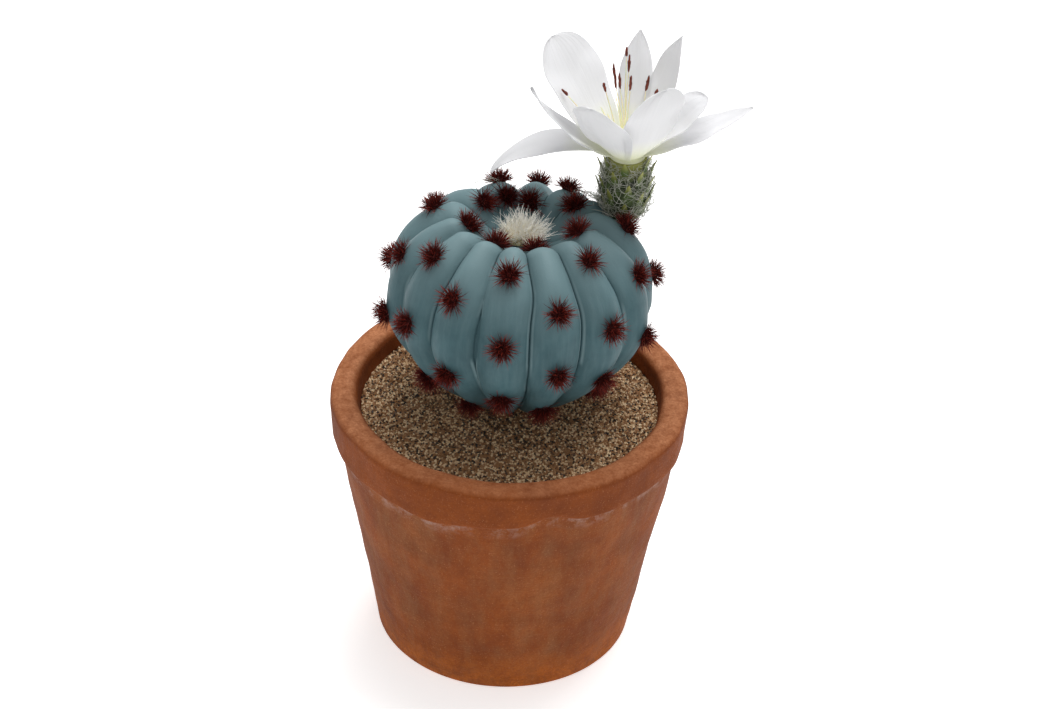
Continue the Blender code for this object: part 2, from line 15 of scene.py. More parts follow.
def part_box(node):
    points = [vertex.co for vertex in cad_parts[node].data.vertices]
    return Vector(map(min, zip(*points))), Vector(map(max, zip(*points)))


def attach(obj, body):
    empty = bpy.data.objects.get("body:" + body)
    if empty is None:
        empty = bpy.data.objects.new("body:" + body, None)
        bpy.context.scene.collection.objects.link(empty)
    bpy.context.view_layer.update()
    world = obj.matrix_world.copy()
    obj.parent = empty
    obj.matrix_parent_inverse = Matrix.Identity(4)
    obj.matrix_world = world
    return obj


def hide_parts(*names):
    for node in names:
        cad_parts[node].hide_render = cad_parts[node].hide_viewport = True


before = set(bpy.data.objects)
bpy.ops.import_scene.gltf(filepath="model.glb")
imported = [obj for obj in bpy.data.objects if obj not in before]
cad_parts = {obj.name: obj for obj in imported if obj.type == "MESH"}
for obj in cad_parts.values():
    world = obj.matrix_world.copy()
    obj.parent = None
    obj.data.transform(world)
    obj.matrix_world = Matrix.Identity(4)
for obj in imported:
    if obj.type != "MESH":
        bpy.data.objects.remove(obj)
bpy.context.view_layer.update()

bl_info = {
    "name": "Potted Cactus in Bloom",
    "version": (1, 0, 0),
    "blender": (4, 5, 0),
    "location": "View3D > Sidebar > Cactus",
    "description": "Builds a ribbed globe cactus with bristle tufts and a white flower in a terracotta pot",
    "category": "Add Mesh",
}

MM = 0.001
POT_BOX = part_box("pot")
TUBE_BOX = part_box("flower_tube")
FLOWER_X = (TUBE_BOX[0][0] + TUBE_BOX[1][0]) / 2
FLOWER_Y = (TUBE_BOX[0][1] + TUBE_BOX[1][1]) / 2
TUBE_TOP = 171.5 * MM

# Each rib from the front one round: bearing of its crest in degrees, and where its bristle tufts sit,
# as degrees down the body's profile from the top. The flower takes one tuft's place on the sixth rib.
RIBS = (
    (-6, (43, 83, 119)),
    (18, (13, 65, 98, 133)),
    (43, (40, 80, 111)),
    (69, (20, 62, 96, 135)),
    (98, (45, 80, 117)),
    (122, (21, 99, 136)),
    (147, (31, 84, 118)),
    (172, (16, 45, 96, 134)),
    (198, (18, 33, 83, 119)),
    (226, (18, 62, 98, 135)),
    (255, (37, 82, 117)),
    (284, (18, 60, 93, 134)),
    (307, (46, 86, 124)),
    (329, (15, 63, 106, 137)),
)

# Each petal: bearing from the front in degrees, rise at its root and at its tip in degrees, length and
# width in millimetres, where it is widest, how blunt its tip is (lower is blunter), and how cupped.
PETALS = {
    "back_left": (-122, 46, 56, 43, 28, 0.70, 0.36, 0.16),
    "back": (173, 62, 62, 39, 11, 0.60, 0.80, 0.25),
    "back_right": (126, 62, 74, 41, 13, 0.62, 0.90, 0.25),
    "right_inner": (101, 44, 40, 29, 18, 0.70, 0.42, 0.20),
    "right_long": (93, 20, 34, 40, 14, 0.50, 0.80, 0.20),
    "front_right": (30, 48, 80, 38, 21, 0.68, 0.50, 0.20),
    "front_left": (-36, 40, 70, 32, 22, 0.66, 0.50, 0.20),
    "left_side": (-80, 20, 66, 40, 14, 0.45, 1.40, 0.20),
    "left_droop": (-94, 26, -54, 45, 17, 0.55, 0.60, 0.12),
}

# Each stamen: bearing from the front and lean from upright in degrees, length and anther length in
# millimetres.
STAMENS = (
    (-167, 12, 34, 3.0),
    (-160, 3, 33, 5.0),
    (-8, 5, 30, 5.8),
    (-126, 11, 30, 8.5),
    (-64, 6, 30, 6.0),
    (-90, 16, 26, 3.0),
    (-93, 42, 29, 2.8),
    (112, 9, 27, 5.4),
    (83, 15, 25, 2.4),
)

# Where the band's lower edge strays from level: bearing and spread in degrees, drop in millimetres.
BAND_WAVES = ((-52, 24, 1.0), (-24, 9, 1.5), (15, 7, -3.8), (46, 22, -1.2))

# The cup that holds the petals, from its inner middle out and down: radius, height over the tube's top.
CUP_OUTLINE = (
    (2.7, 1.1),
    (2.7, 3.0),
    (4.4, 3.0),
    (5.8, 1.9),
    (5.8, 0.6),
    (5.0, 0.25),
    (3.0, 0.25),
    (3.0, -4.7),
)

BODY_CENTRE = Vector((1.9, 3.0, 127.6)) * MM
BODY_TILT_BACK = math.radians(-3.5)
BODY_TILT_SIDE = math.radians(0.6)
BODY_TOP = 34.2 * MM
BODY_BOTTOM = 39.0 * MM
TOP_SQUARENESS = 2.6
BOTTOM_SQUARENESS = 1.6
CROWN_RADIUS = 25.0 * MM
CROWN_DEPTH = 11.0 * MM
CROWN_FLOOR = 7.5 * MM
NECK_RADIUS = 8.5 * MM
NECK_FOOT = 69.0 * MM
GRAINS_PER_M2 = 9.0e6
BRISTLES_PER_M2 = 6.0e7


def linear(hex_colour):
    """An sRGB hex colour as the linear RGB that shaders take."""
    channels = [int(hex_colour[i : i + 2], 16) / 255 for i in (1, 3, 5)]
    return tuple(c / 12.92 if c <= 0.04045 else ((c + 0.055) / 1.055) ** 2.4 for c in channels)


def size(name, description, millimetres):
    return bpy.props.FloatProperty(
        name=name, description=description, default=millimetres * MM, unit="LENGTH", precision=4
    )


def colour(name, description, hex_colour):
    return bpy.props.FloatVectorProperty(
        name=name, description=description, default=linear(hex_colour), subtype="COLOR", min=0.0, max=1.0
    )


def amount(name, description, default):
    return bpy.props.FloatProperty(name=name, description=description, default=default, min=0.0)


def count(name, description, default):
    return bpy.props.IntProperty(name=name, description=description, default=default, min=1)


class PotSettings(bpy.types.PropertyGroup):
    height: size("Height", "Height of the pot", POT_BOX[1][2] / MM)
    rim_radius: size("Rim radius", "Outer radius of the band round the rim", POT_BOX[1][1] / MM)
    rim_wall: size("Rim wall", "Thickness of the rim", 8.7)
    band_height: size("Band height", "Height of the band round the rim", 14.1)
    band_step: size("Band step", "How far the band stands out from the wall", 2.1)
    base_radius: size("Base radius", "Radius of the pot at its foot", 44.3)
    floor: size("Floor", "Thickness of the floor", 8.0)
    base_inside: size("Inside at the floor", "Inner radius at the floor", 36.5)
    unevenness: size("Unevenness", "How far the hand-finished wall strays from round", 0.7)
    clay: colour("Clay", "Fired clay where it is bare", "#89430e")
    dark_clay: colour("Dark clay", "Clay in its darker patches", "#6f330b")
    ochre: colour("Ochre", "Yellower clay at the pot's foot", "#ae5c16")
    # Worn-and-lit clay is partly rubbed wear and partly painted light: the rim's top is painted paler where
    # light from above falls on it. The same colour makes the pale grit specks.
    worn_and_lit: colour("Worn clay", "Paler clay where the rim is rubbed", "#bd7d55")
    salts: colour("Salts", "Whitish salts under the band's edge", "#b3a096")
    bloom: colour("Bloom", "Pale lime bloom on the wall", "#967650")


class SandSettings(bpy.types.PropertyGroup):
    edge_height: size("Edge height", "Height of the sand at the pot's wall", 87.5)
    mound: size("Mound", "How much higher the sand is round the plant", 2.3)
    grain: size("Grain", "Width of a coarse sand grain", 1.15)
    spacing: size("Spacing", "Least distance between grains", 0.5)
    pale: colour("Pale grains", "Quartz grains", "#f0d4ac")
    middle: colour("Middle grains", "Commonest grains", "#9c7048")
    dark: colour("Dark grains", "Darkest grains", "#2b1e14")


class CactusSettings(bpy.types.PropertyGroup):
    radius: size("Radius", "Radius of the body over its ribs", 44.2)
    rib_depth: size("Rib depth", "Depth of the furrows between ribs", 4.4)
    roundness: amount("Rib roundness", "Lower makes the ribs flatter between sharper furrows", 0.7)
    unevenness: size("Unevenness", "How far the moulded skin strays from its form", 0.45)
    swing: amount("Swing", "How far a furrow swings to the side, in ribs", 0.12)
    skin: colour("Skin", "Blue-green of the skin", "#4a696f")
    # The shaded skin colour is the skin's own darker patches, and it also paints shade into the furrows and
    # onto the neck.
    shade: colour("Shaded skin", "Darker patches and the furrows", "#365056")
    # The wax colour is also laid on as painted highlights, on the body's top and along the furrows' lips.
    wax: colour("Wax", "Pale waxy bloom on the crests", "#748c90")


class TuftSettings(bpy.types.PropertyGroup):
    core_radius: size("Core radius", "Radius of the felted core of a tuft", 2.0)
    bristle_length: size("Bristle length", "Length of one bristle", 4.5)
    bristle_width: size("Bristle width", "Thickness of one bristle at its root", 0.21)
    spacing: size("Spacing", "Least distance between bristles", 0.21)
    core: colour("Core", "Felted core of a tuft", "#240808")
    root: colour("Bristle root", "Bristles near the core", "#4a1410")
    # Painted light: the tip colour makes the bristles redder at their tips, standing in for light shining
    # through them.
    tip: colour("Bristle tip", "Tips of the bristles", "#a63b2a")


class WoolSettings(bpy.types.PropertyGroup):
    radius: size("Pad radius", "Radius of the woolly pad", 6.8)
    height: size("Pad height", "Height of the pad without its hairs", 1.8)
    hair_length: size("Hair length", "Length of a hair", 5.7)
    hairs: count("Hairs", "Number of hairs", 1150)
    pad: colour("Pad", "Felted pad under the hairs", "#8d7d50")
    cream: colour("Cream", "Wool near its root", "#ece0b8")
    white: colour("White", "Tips of the wool", "#fdfbf4")


class TubeSettings(bpy.types.PropertyGroup):
    radius: size("Radius", "Radius of the tube where it is fullest", 8.0)
    mouth_radius: size("Mouth radius", "Radius of the tube's mouth", 6.3)
    foot: size("Foot height", "Height of the tube's foot", 149.0)
    lip: size("Lip", "How far the skin rises round the petals' roots", 1.8)
    hair_length: size("Hair length", "Length of a matted hair", 8.0)
    hairs: count("Hairs", "Number of matted hairs", 560)
    green: colour("Green", "Skin of the tube", "#52662f")
    dark_green: colour("Dark green", "Skin of the tube in its hollows", "#222b14")
    scale_tip: colour("Scale tip", "Tips of the scales", "#9a9a4e")
    hair: colour("Hair", "Matted hairs", "#c9c8bd")


class PetalSettings(bpy.types.PropertyGroup):
    thickness: size("Thickness", "Thickness of the fabric", 0.3)
    ring: size("Ring radius", "Radius on which the petals are rooted", 3.9)
    wave: size("Wave", "How far the petals' edges wave", 0.5)
    vein_spacing: size("Vein spacing", "Width between veins where a petal is widest", 1.0)
    # Painted light: the petals glow with emission of their own, standing in for light that passes through
    # the thin cloth from behind.
    glow: amount("Glow", "Light that the thin cloth passes on from behind", 0.13)
    white: colour("White", "Petal fabric", "#c9c9cb")
    base: colour("Base", "Yellow-green dye at the petals' base", "#dcdfac")


class StamenSettings(bpy.types.PropertyGroup):
    filament_radius: size("Filament radius", "Radius of a filament at its root", 0.26)
    anther_radius: size("Anther radius", "Radius of an anther", 0.5)
    short: count("Short filaments", "Number of short filaments round the middle", 16)
    yellow: colour("Filament", "Pale yellow of the filaments", "#fbf7d2")
    deep_yellow: colour("Filament patches", "Deeper yellow where the wax is thick", "#e8dc96")
    brown: colour("Anther", "Red-brown of the anthers", "#8a3f2c")
    dark_brown: colour("Anther hollows", "Dark brown between the anthers' lumps", "#3a1512")


class StageSettings(bpy.types.PropertyGroup):
    floor: colour("Floor", "Pale floor", "#f6f6f6")
    glow: amount("Glow", "Light that the floor board gives by itself", 0.56)
    key_power: amount("Key light", "Power of the large soft light, in watts", 12.0)
    sky: amount("Sky", "Strength of the white surroundings", 0.46)


SETTINGS = {
    "cactus_pot": PotSettings,
    "cactus_sand": SandSettings,
    "cactus_body": CactusSettings,
    "cactus_tufts": TuftSettings,
    "cactus_wool": WoolSettings,
    "cactus_tube": TubeSettings,
    "cactus_petals": PetalSettings,
    "cactus_stamens": StamenSettings,
    "cactus_stage": StageSettings,
}


def give(tree, node, inputs):
    """Gives each named input of a node a value, a socket, or another node's first output."""
    for name, value in inputs.items():
        socket = node.inputs[name]
        if isinstance(value, bpy.types.Node):
            value = value.outputs[0]
        if isinstance(value, bpy.types.NodeSocket):
            tree.links.new(value, socket)
        elif socket.type == "RGBA":
            socket.default_value = (*value[:3], 1.0)
        else:
            socket.default_value = value


def add_node(tree, kind, inputs, **settings):
    """Adds a node, sets its properties, and gives it its inputs."""
    made = tree.nodes.new(kind)
    for name, value in settings.items():
        setattr(made, name, value)
    give(tree, made, inputs)
    return made


def mask(tree, source, low=0.0, high=1.0, least=0.0, most=1.0):
    """A share that runs from least to most while its source runs from low to high, held at its ends.

    The source is a socket, or vector, width, detail and roughness for noise in patches of that width.
    """
    if isinstance(source, tuple):
        vector, width, detail, roughness = source
        pattern = {"Vector": vector, "Scale": 1 / width, "Detail": detail, "Roughness": roughness}
        source = add_node(tree, "ShaderNodeTexNoise", pattern)
    stretch = {"Value": source, "From Min": low, "From Max": high, "To Min": least, "To Max": most}
    return add_node(tree, "ShaderNodeMapRange", stretch)


def painted(tree, shade, *layers):
    """Lays colours over the first one in turn, each as far as every mask of its layer lets it."""
    for over, share, *masks in layers:
        for other in masks:
            share = add_node(tree, "ShaderNodeMath", {0: share, 1: other}, operation="MULTIPLY")
        mix = add_node(tree, "ShaderNodeMix", {0: share, 6: shade, 7: over}, data_type="RGBA")
        shade = mix.outputs[2]
    return shade


def relief(tree, *layers):
    """A normal that is roughened by each height and depth in turn."""
    normal = {}
    for height, depth in layers:
        inputs = {"Height": height, "Strength": 1.0, "Distance": depth, **normal}
        normal = {"Normal": add_node(tree, "ShaderNodeBump", inputs)}
    return normal["Normal"]


def new_material(name):
    """A material, its node tree and its Principled shader."""
    material = bpy.data.materials.new(name)
    material.use_nodes = True
    return material, material.node_tree, material.node_tree.nodes["Principled BSDF"]


def link_object(name, mesh):
    obj = bpy.data.objects.new(name, mesh)
    bpy.context.scene.collection.objects.link(obj)
    return obj


def object_from_bmesh(name, shape):
    mesh = bpy.data.meshes.new(name)
    shape.to_mesh(mesh)
    shape.free()
    return link_object(name, mesh)


def plain_mesh(obj):
    """Replaces an object's mesh by its evaluated form, with the modifiers gone."""
    bpy.context.view_layer.update()
    graph = bpy.context.evaluated_depsgraph_get()
    mesh = bpy.data.meshes.new_from_object(obj.evaluated_get(graph))
    obj.modifiers.clear()
    obj.data = mesh
    return obj


def finish_piece(obj, material, node, sharp_angle=60.0):
    """Shades a finished piece, gives it its material and slot, and ties it to the model's body."""
    obj.data.materials.clear()
    obj.data.materials.append(material)
    obj.data.shade_smooth()
    obj.data.set_sharp_from_angle(angle=math.radians(sharp_angle))
    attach(obj, "root")
    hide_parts(node)


def join_rings(shape, rings):
    """Joins rings of vertices with faces, each ring to the next."""
    for first, second in zip(rings, rings[1:]):
        for i in range(len(first)):
            after = (i + 1) % len(first)
            shape.faces.new((first[i], second[i], second[after], first[after]))


def ring_mesh(rows):
    """A closed tube of faces through rows of points, each row running once round."""
    shape = bmesh.new()
    rings = [[shape.verts.new(point) for point in row] for row in rows]
    join_rings(shape, rings)
    fan(shape, rings[0], False)
    fan(shape, rings[-1], True)
    return shape


def fan(shape, ring, foot):
    """Closes a ring with triangles to its middle."""
    middle = shape.verts.new(sum((vert.co for vert in ring), Vector()) / len(ring))
    for i, vert in enumerate(ring):
        after = ring[(i + 1) % len(ring)]
        shape.faces.new((after, vert, middle) if foot else (vert, after, middle))


def around(radius, bearing, height):
    """A point at a radius and height, at a bearing counted from the front."""
    return Vector((radius * math.sin(bearing), -radius * math.cos(bearing), height))


def arc(radius_at, height_at, bend, start, end, steps):
    """Points of a round edge: its centre, its bend radius, and its first and last angle in degrees."""
    points = []
    for step in range(steps + 1):
        angle = math.radians(start + (end - start) * step / steps)
        points.append((radius_at + bend * math.cos(angle), height_at + bend * math.sin(angle)))
    return points


def closer_points(points, step):
    """Adds points along a line so that none are further apart than one step."""
    result = [points[0]]
    for first, last in zip(points, points[1:]):
        pieces = max(1, math.ceil(math.dist(first, last) / step))
        for piece in range(1, pieces + 1):
            share = piece / pieces
            result.append(tuple(a + (b - a) * share for a, b in zip(first, last)))
    return result


def input_tree(name, **sockets):
    """A Geometry Nodes tree with these named inputs and one geometry output, and its inputs' sockets."""
    tree = bpy.data.node_groups.new(name, "GeometryNodeTree")
    for label, kind in sockets.items():
        tree.interface.new_socket(label, in_out="INPUT", socket_type=f"NodeSocket{kind}")
    tree.interface.new_socket("Geometry", in_out="OUTPUT", socket_type="NodeSocketGeometry")
    return tree, add_node(tree, "NodeGroupInput", {}).outputs


def end_tree(tree, geometry, material):
    """Realises a tree's instances and sets their material."""
    real = add_node(tree, "GeometryNodeRealizeInstances", {"Geometry": geometry})
    dressed = add_node(tree, "GeometryNodeSetMaterial", {"Geometry": real, "Material": material})
    add_node(tree, "NodeGroupOutput", {0: dressed})


def run_tree(obj, tree, values):
    """Gives an object a tree as its modifier, sets its inputs by identifier, and keeps the result."""
    modifier = obj.modifiers.new(tree.name, "NODES")
    modifier.node_group = tree
    for item in tree.interface.items_tree:
        if item.in_out == "INPUT" and item.name in values:
            modifier[item.identifier] = values[item.name]
    return plain_mesh(obj)


def scatter_tree():
    """Stands copies of a shape on a surface, evenly spaced, each turned, tilted and sized at random."""
    tree, given = input_tree(
        "Scatter on a surface",
        Geometry="Geometry",
        Shape="Object",
        Spacing="Float",
        Density="Float",
        Smallest="Vector",
        Largest="Vector",
        Tilt="Float",
        Seed="Int",
        Material="Material",
    )
    surface = {"Mesh": given["Geometry"], "Distance Min": given["Spacing"]}
    surface.update({"Density Max": given["Density"], "Seed": given["Seed"]})
    points = add_node(tree, "GeometryNodeDistributePointsOnFaces", surface, distribute_method="POISSON")
    most = add_node(tree, "ShaderNodeCombineXYZ", {"X": given["Tilt"], "Y": given["Tilt"], "Z": math.pi})
    least = add_node(tree, "ShaderNodeVectorMath", {0: most, "Scale": -1.0}, operation="SCALE")
    turns = {0: least, 1: most, "Seed": given["Seed"]}
    turn = add_node(tree, "FunctionNodeRandomValue", turns, data_type="FLOAT_VECTOR")
    by = add_node(tree, "FunctionNodeEulerToRotation", {"Euler": turn})
    rotations = {"Rotation": points.outputs["Rotation"], "Rotate By": by}
    facing = add_node(tree, "FunctionNodeRotateRotation", rotations, rotation_space="LOCAL")
    sizes = {0: given["Smallest"], 1: given["Largest"], "Seed": 7}
    stretch = add_node(tree, "FunctionNodeRandomValue", sizes, data_type="FLOAT_VECTOR")
    shape = add_node(tree, "GeometryNodeObjectInfo", {"Object": given["Shape"]}).outputs["Geometry"]
    stood = {"Points": points, "Instance": shape, "Rotation": facing, "Scale": stretch}
    copies = add_node(tree, "GeometryNodeInstanceOnPoints", stood)
    tone = add_node(tree, "FunctionNodeRandomValue", {"Seed": 11}, data_type="FLOAT")
    tones = {"Geometry": copies, "Name": "tone", "Value": tone.outputs[1]}
    toned = add_node(tree, "GeometryNodeStoreNamedAttribute", tones, data_type="FLOAT", domain="INSTANCE")
    end_tree(tree, toned, given["Material"])
    return tree


def scatter(name, ground, shape, values):
    """One object of copies of a shape, strewn over the ground as the values say."""
    copied = object_from_bmesh(f"{name}_shape", shape)
    obj = run_tree(object_from_bmesh(name, ground), scatter_tree(), {"Shape": copied, **values})
    bpy.data.objects.remove(copied, do_unlink=True)
    return obj


def strand_tree():
    """Turns each chain of edges into a strand that thins to its tip, and stores how far along it is."""
    tree, given = input_tree(
        "Strands", Geometry="Geometry", Radius="Float", Tip="Float", Sides="Int", Material="Material"
    )
    curves = add_node(tree, "GeometryNodeMeshToCurve", {"Mesh": given["Geometry"]})
    along = add_node(tree, "GeometryNodeSplineParameter", {})
    stored = {"Geometry": curves, "Name": "along", "Value": along}
    marked = add_node(tree, "GeometryNodeStoreNamedAttribute", stored, data_type="FLOAT", domain="POINT")
    thinning = {"Value": along, "From Min": 0.2, "To Min": 1.0, "To Max": given["Tip"]}
    thin = add_node(tree, "ShaderNodeMapRange", thinning)
    radius = add_node(tree, "ShaderNodeMath", {0: thin, 1: given["Radius"]}, operation="MULTIPLY")
    ring = {"Resolution": given["Sides"], "Radius": 1.0}
    outline = add_node(tree, "GeometryNodeCurvePrimitiveCircle", ring)
    tubes = {"Curve": marked, "Profile Curve": outline, "Scale": radius, "Fill Caps": True}
    end_tree(tree, add_node(tree, "GeometryNodeCurveToMesh", tubes), given["Material"])
    return tree


def strands(name, paths, radius, tip, sides, material):
    """One object of strands, each along a list of points from its root to its tip."""
    mesh = bpy.data.meshes.new(name)
    edges = []
    first = 0
    for path in paths:
        edges += [(first + i, first + i + 1) for i in range(len(path) - 1)]
        first += len(path)
    mesh.from_pydata([point for path in paths for point in path], edges, [])
    values = {"Radius": radius, "Tip": tip, "Sides": sides, "Material": material}
    return run_tree(link_object(name, mesh), strand_tree(), values)


def set_attribute(obj, name, values, kind="FLOAT"):
    """Stores a number, or a vector's three, for each vertex; the last vertices left out get zeros."""
    attribute = obj.data.attributes.new(name, kind, "POINT")
    wanted = len(obj.data.vertices) * (1 if kind == "FLOAT" else 3)
    values = values + [0.0] * (wanted - len(values))
    attribute.data.foreach_set("value" if kind == "FLOAT" else "vector", values)


def pot_inside_radius(pot, height):
    share = (height - pot.floor) / (pot.height - pot.floor)
    return pot.base_inside + share * (pot.rim_radius - pot.rim_wall - pot.base_inside)


def band_edge(pot, bearing):
    """Height of the band's lower edge at a bearing, which a hand cut unevenly."""
    degrees = math.degrees(bearing)
    drop = 0.5 * MM * noise.noise(Vector((math.cos(bearing), math.sin(bearing), 0)) * 2.3)
    for place, reach, depth in BAND_WAVES:
        away = (degrees - place + 180) % 360 - 180
        drop += depth * MM * math.exp(-((away / reach) ** 2))
    return pot.height - pot.band_height - drop


def pot_outline(pot, edge):
    """The pot's profile from its inner floor over the rim to the middle of its underside."""
    middle = 0.5 * MM
    inner_bend = 3 * MM
    outer_bend = 2.2 * MM
    edge_bend = 1.0 * MM
    foot_bend = 1.2 * MM
    wall = pot.rim_radius - pot.band_step
    inner = pot_inside_radius(pot, pot.height - inner_bend)
    points = [(middle, pot.floor), (pot.base_inside - 2 * MM, pot.floor)]
    for height in (pot.floor + 2 * MM, pot.height / 2):
        points.append((pot_inside_radius(pot, height), height))
    points += arc(inner + inner_bend, pot.height - inner_bend, inner_bend, 180, 90, 6)
    points += arc(pot.rim_radius - outer_bend, pot.height - outer_bend, outer_bend, 90, 0, 6)
    points += arc(pot.rim_radius - 1.3 * MM, edge + edge_bend, edge_bend, 0, -80, 4)
    points += [(wall, edge - 0.4 * MM), (wall - 0.1 * MM, edge - 1.2 * MM)]
    points += arc(pot.base_radius - 0.9 * MM, foot_bend, foot_bend, -8, -90, 4)
    return points + [(middle, 0.0)]


def pot_rows(pot, columns):
    """Rows of bearing, radius and height round the pot; those below the rim follow its wavy band."""
    bearings = [2 * math.pi * column / columns for column in range(columns)]
    outlines = [pot_outline(pot, band_edge(pot, bearing)) for bearing in bearings]
    level = pot_outline(pot, pot.height - pot.band_height)
    longest = 1.3 * MM
    pieces = [max(1, math.ceil(math.dist(a, b) / longest)) for a, b in zip(level, level[1:])]
    rows = []
    for i, parts in enumerate(pieces):
        for part in range(parts + (i == len(pieces) - 1)):
            share = part / parts
            row = []
            for bearing, outline in zip(bearings, outlines):
                radius = outline[i][0] + (outline[i + 1][0] - outline[i][0]) * share
                height = outline[i][1] + (outline[i + 1][1] - outline[i][1]) * share
                row.append((bearing, radius, height))
            rows.append(row)
    return rows


def terracotta(pot):
    """Thrown terracotta, unglazed: matt and chalky, with a lime bloom that salts leave on the wall."""
    material, tree, shader = new_material("Terracotta, thrown and unglazed")
    place = add_node(tree, "ShaderNodeTexCoord", {}).outputs["Object"]
    axes = add_node(tree, "ShaderNodeSeparateXYZ", {"Vector": place}).outputs
    below = add_node(tree, "ShaderNodeAttribute", {}, attribute_name="below_band").outputs["Fac"]
    upright = add_node(tree, "ShaderNodeMapping", {"Vector": place, "Scale": (1.0, 1.0, 0.3)})
    level = add_node(tree, "ShaderNodeMapping", {"Vector": place, "Scale": (0.06, 0.06, 1.0)})
    patches = mask(tree, (place, 16 * MM, 4.0, 0.6), 0.35, 0.65)
    on_wall = mask(tree, below, 0.0, 0.5 * MM)
    smears = mask(tree, (upright, 9 * MM, 6.0, 0.72), 0.42, 0.78, 0.0, 0.34)
    under_edge = mask(tree, below, 6 * MM, 0.8 * MM)
    crusts = mask(tree, (place, 5 * MM, 5.0, 0.7), 0.46, 0.7, 0.0, 0.75)
    near_foot = mask(tree, axes["Z"], 18 * MM, 2 * MM)
    stain = mask(tree, (place, 6 * MM, 4.0, 0.65), 0.38, 0.6, 0.3, 1.0)
    on_rim = mask(tree, axes["Z"], pot.height - 1.4 * MM, pot.height - 0.1 * MM)
    # Painted light: the rim's paleness is held back at the front and is full towards the sides and back, as
    # light falls on the rim.
    side_light = mask(tree, axes["Y"], -56 * MM, -25 * MM, 0.55, 1.0)
    rubbed = mask(tree, (place, 3 * MM, 4.0, 0.65), 0.3, 0.65, 0.3, 1.0)
    speckle = mask(tree, (place, 0.9 * MM, 3.0, 0.7))
    grit = mask(tree, (place, 0.5 * MM, 2.0, 0.6), 0.6, 0.72, 0.0, 0.35)
    clay = painted(
        tree,
        pot.dark_clay,
        (pot.clay, patches),
        (pot.bloom, smears, on_wall),
        (pot.salts, crusts, on_wall, under_edge),
        (pot.ochre, near_foot, stain),
        # The rim's top: paler clay, partly rubbed wear and partly painted light from above and from the
        # sides.
        (pot.worn_and_lit, on_rim, side_light, rubbed),
        (pot.dark_clay, mask(tree, speckle, 0.3, 0.62, 0.5, 0.0)),
        (pot.worn_and_lit, grit),
    )
    turned_lines = mask(tree, (level, 2.2 * MM, 3.0, 0.6))
    drags = mask(tree, (upright, 4 * MM, 4.0, 0.65))
    rough = relief(tree, (speckle, 0.22 * MM), (turned_lines, 0.25 * MM), (drags, 0.4 * MM))
    surface = {"Base Color": clay, "Roughness": 0.82, "Specular IOR Level": 0.25, "Normal": rough}
    give(tree, shader, surface)
    return material


class CACTUS_OT_pot(bpy.types.Operator):
    """Builds the terracotta pot, with the band round its rim cut a little unevenly"""

    bl_idname = "cactus.pot"
    bl_label = "Pot"

    def execute(self, context):
        pot = context.scene.cactus_pot
        columns = 288
        rows = []
        below = []
        for row in pot_rows(pot, columns):
            points = []
            for bearing, radius, height in row:
                point = around(radius, bearing, height)
                stray = noise.noise(point * 45) + 0.35 * noise.noise(point * 160)
                steady = min(height / (4 * MM), 1.0)
                point.xy *= 1 + pot.unevenness * stray * steady / max(radius, 20 * MM)
                points.append(point)
                below.append(band_edge(pot, bearing) - height)
            rows.append(points)
        obj = object_from_bmesh("terracotta_pot", ring_mesh(rows))
        set_attribute(obj, "below_band", below)
        finish_piece(obj, terracotta(pot), "pot")
        return {"FINISHED"}


def sand_height(sand, x, y):
    """Height of the sand, heaped round the plant and lightly uneven."""
    share = min(math.hypot(x, y) / (46 * MM), 1.0)
    mound = sand.mound * (1 - share * share) ** 1.5
    spot = Vector((x, y, 0))
    lumps = 0.6 * noise.noise(spot * 90) + 0.5 * noise.noise(spot * 230)
    return sand.edge_height + mound + lumps * MM


def sand_ring(sand, radius, columns, height=None):
    """A ring of points on the sand's uneven surface, or at one height."""
    ring = []
    for column in range(columns):
        bearing = 2 * math.pi * column / columns
        x = radius * math.sin(bearing)
        y = -radius * math.cos(bearing)
        ring.append(Vector((x, y, height or sand_height(sand, x, y))))
    return ring


def sand_material(sand, name, loose):
    """Washed river sand, glued down: quartz, feldspar and dark grains, some of which glint."""
    material, tree, shader = new_material(name)
    if loose:
        tone = add_node(tree, "ShaderNodeAttribute", {}, attribute_name="tone").outputs["Fac"]
    else:
        place = add_node(tree, "ShaderNodeTexCoord", {}).outputs["Object"]
        tone = mask(tree, (place, 0.8 * MM, 1.0, 0.5))
    shades = add_node(tree, "ShaderNodeValToRGB", {"Fac": tone})
    stops = (
        (0.0, sand.dark),
        (0.14, sand.dark),
        (0.34, sand.middle),
        (0.6, sand.middle),
        (0.8, sand.pale),
    )
    elements = shades.color_ramp.elements
    elements[1].position = stops[-1][0]
    for position, _ in stops[1:-1]:
        elements.new(position)
    for element, (_, shade) in zip(elements, stops):
        element.color = (*shade, 1.0)
    give(tree, shader, {"Base Color": shades, "Roughness": 0.55 if loose else 0.9})
    return material


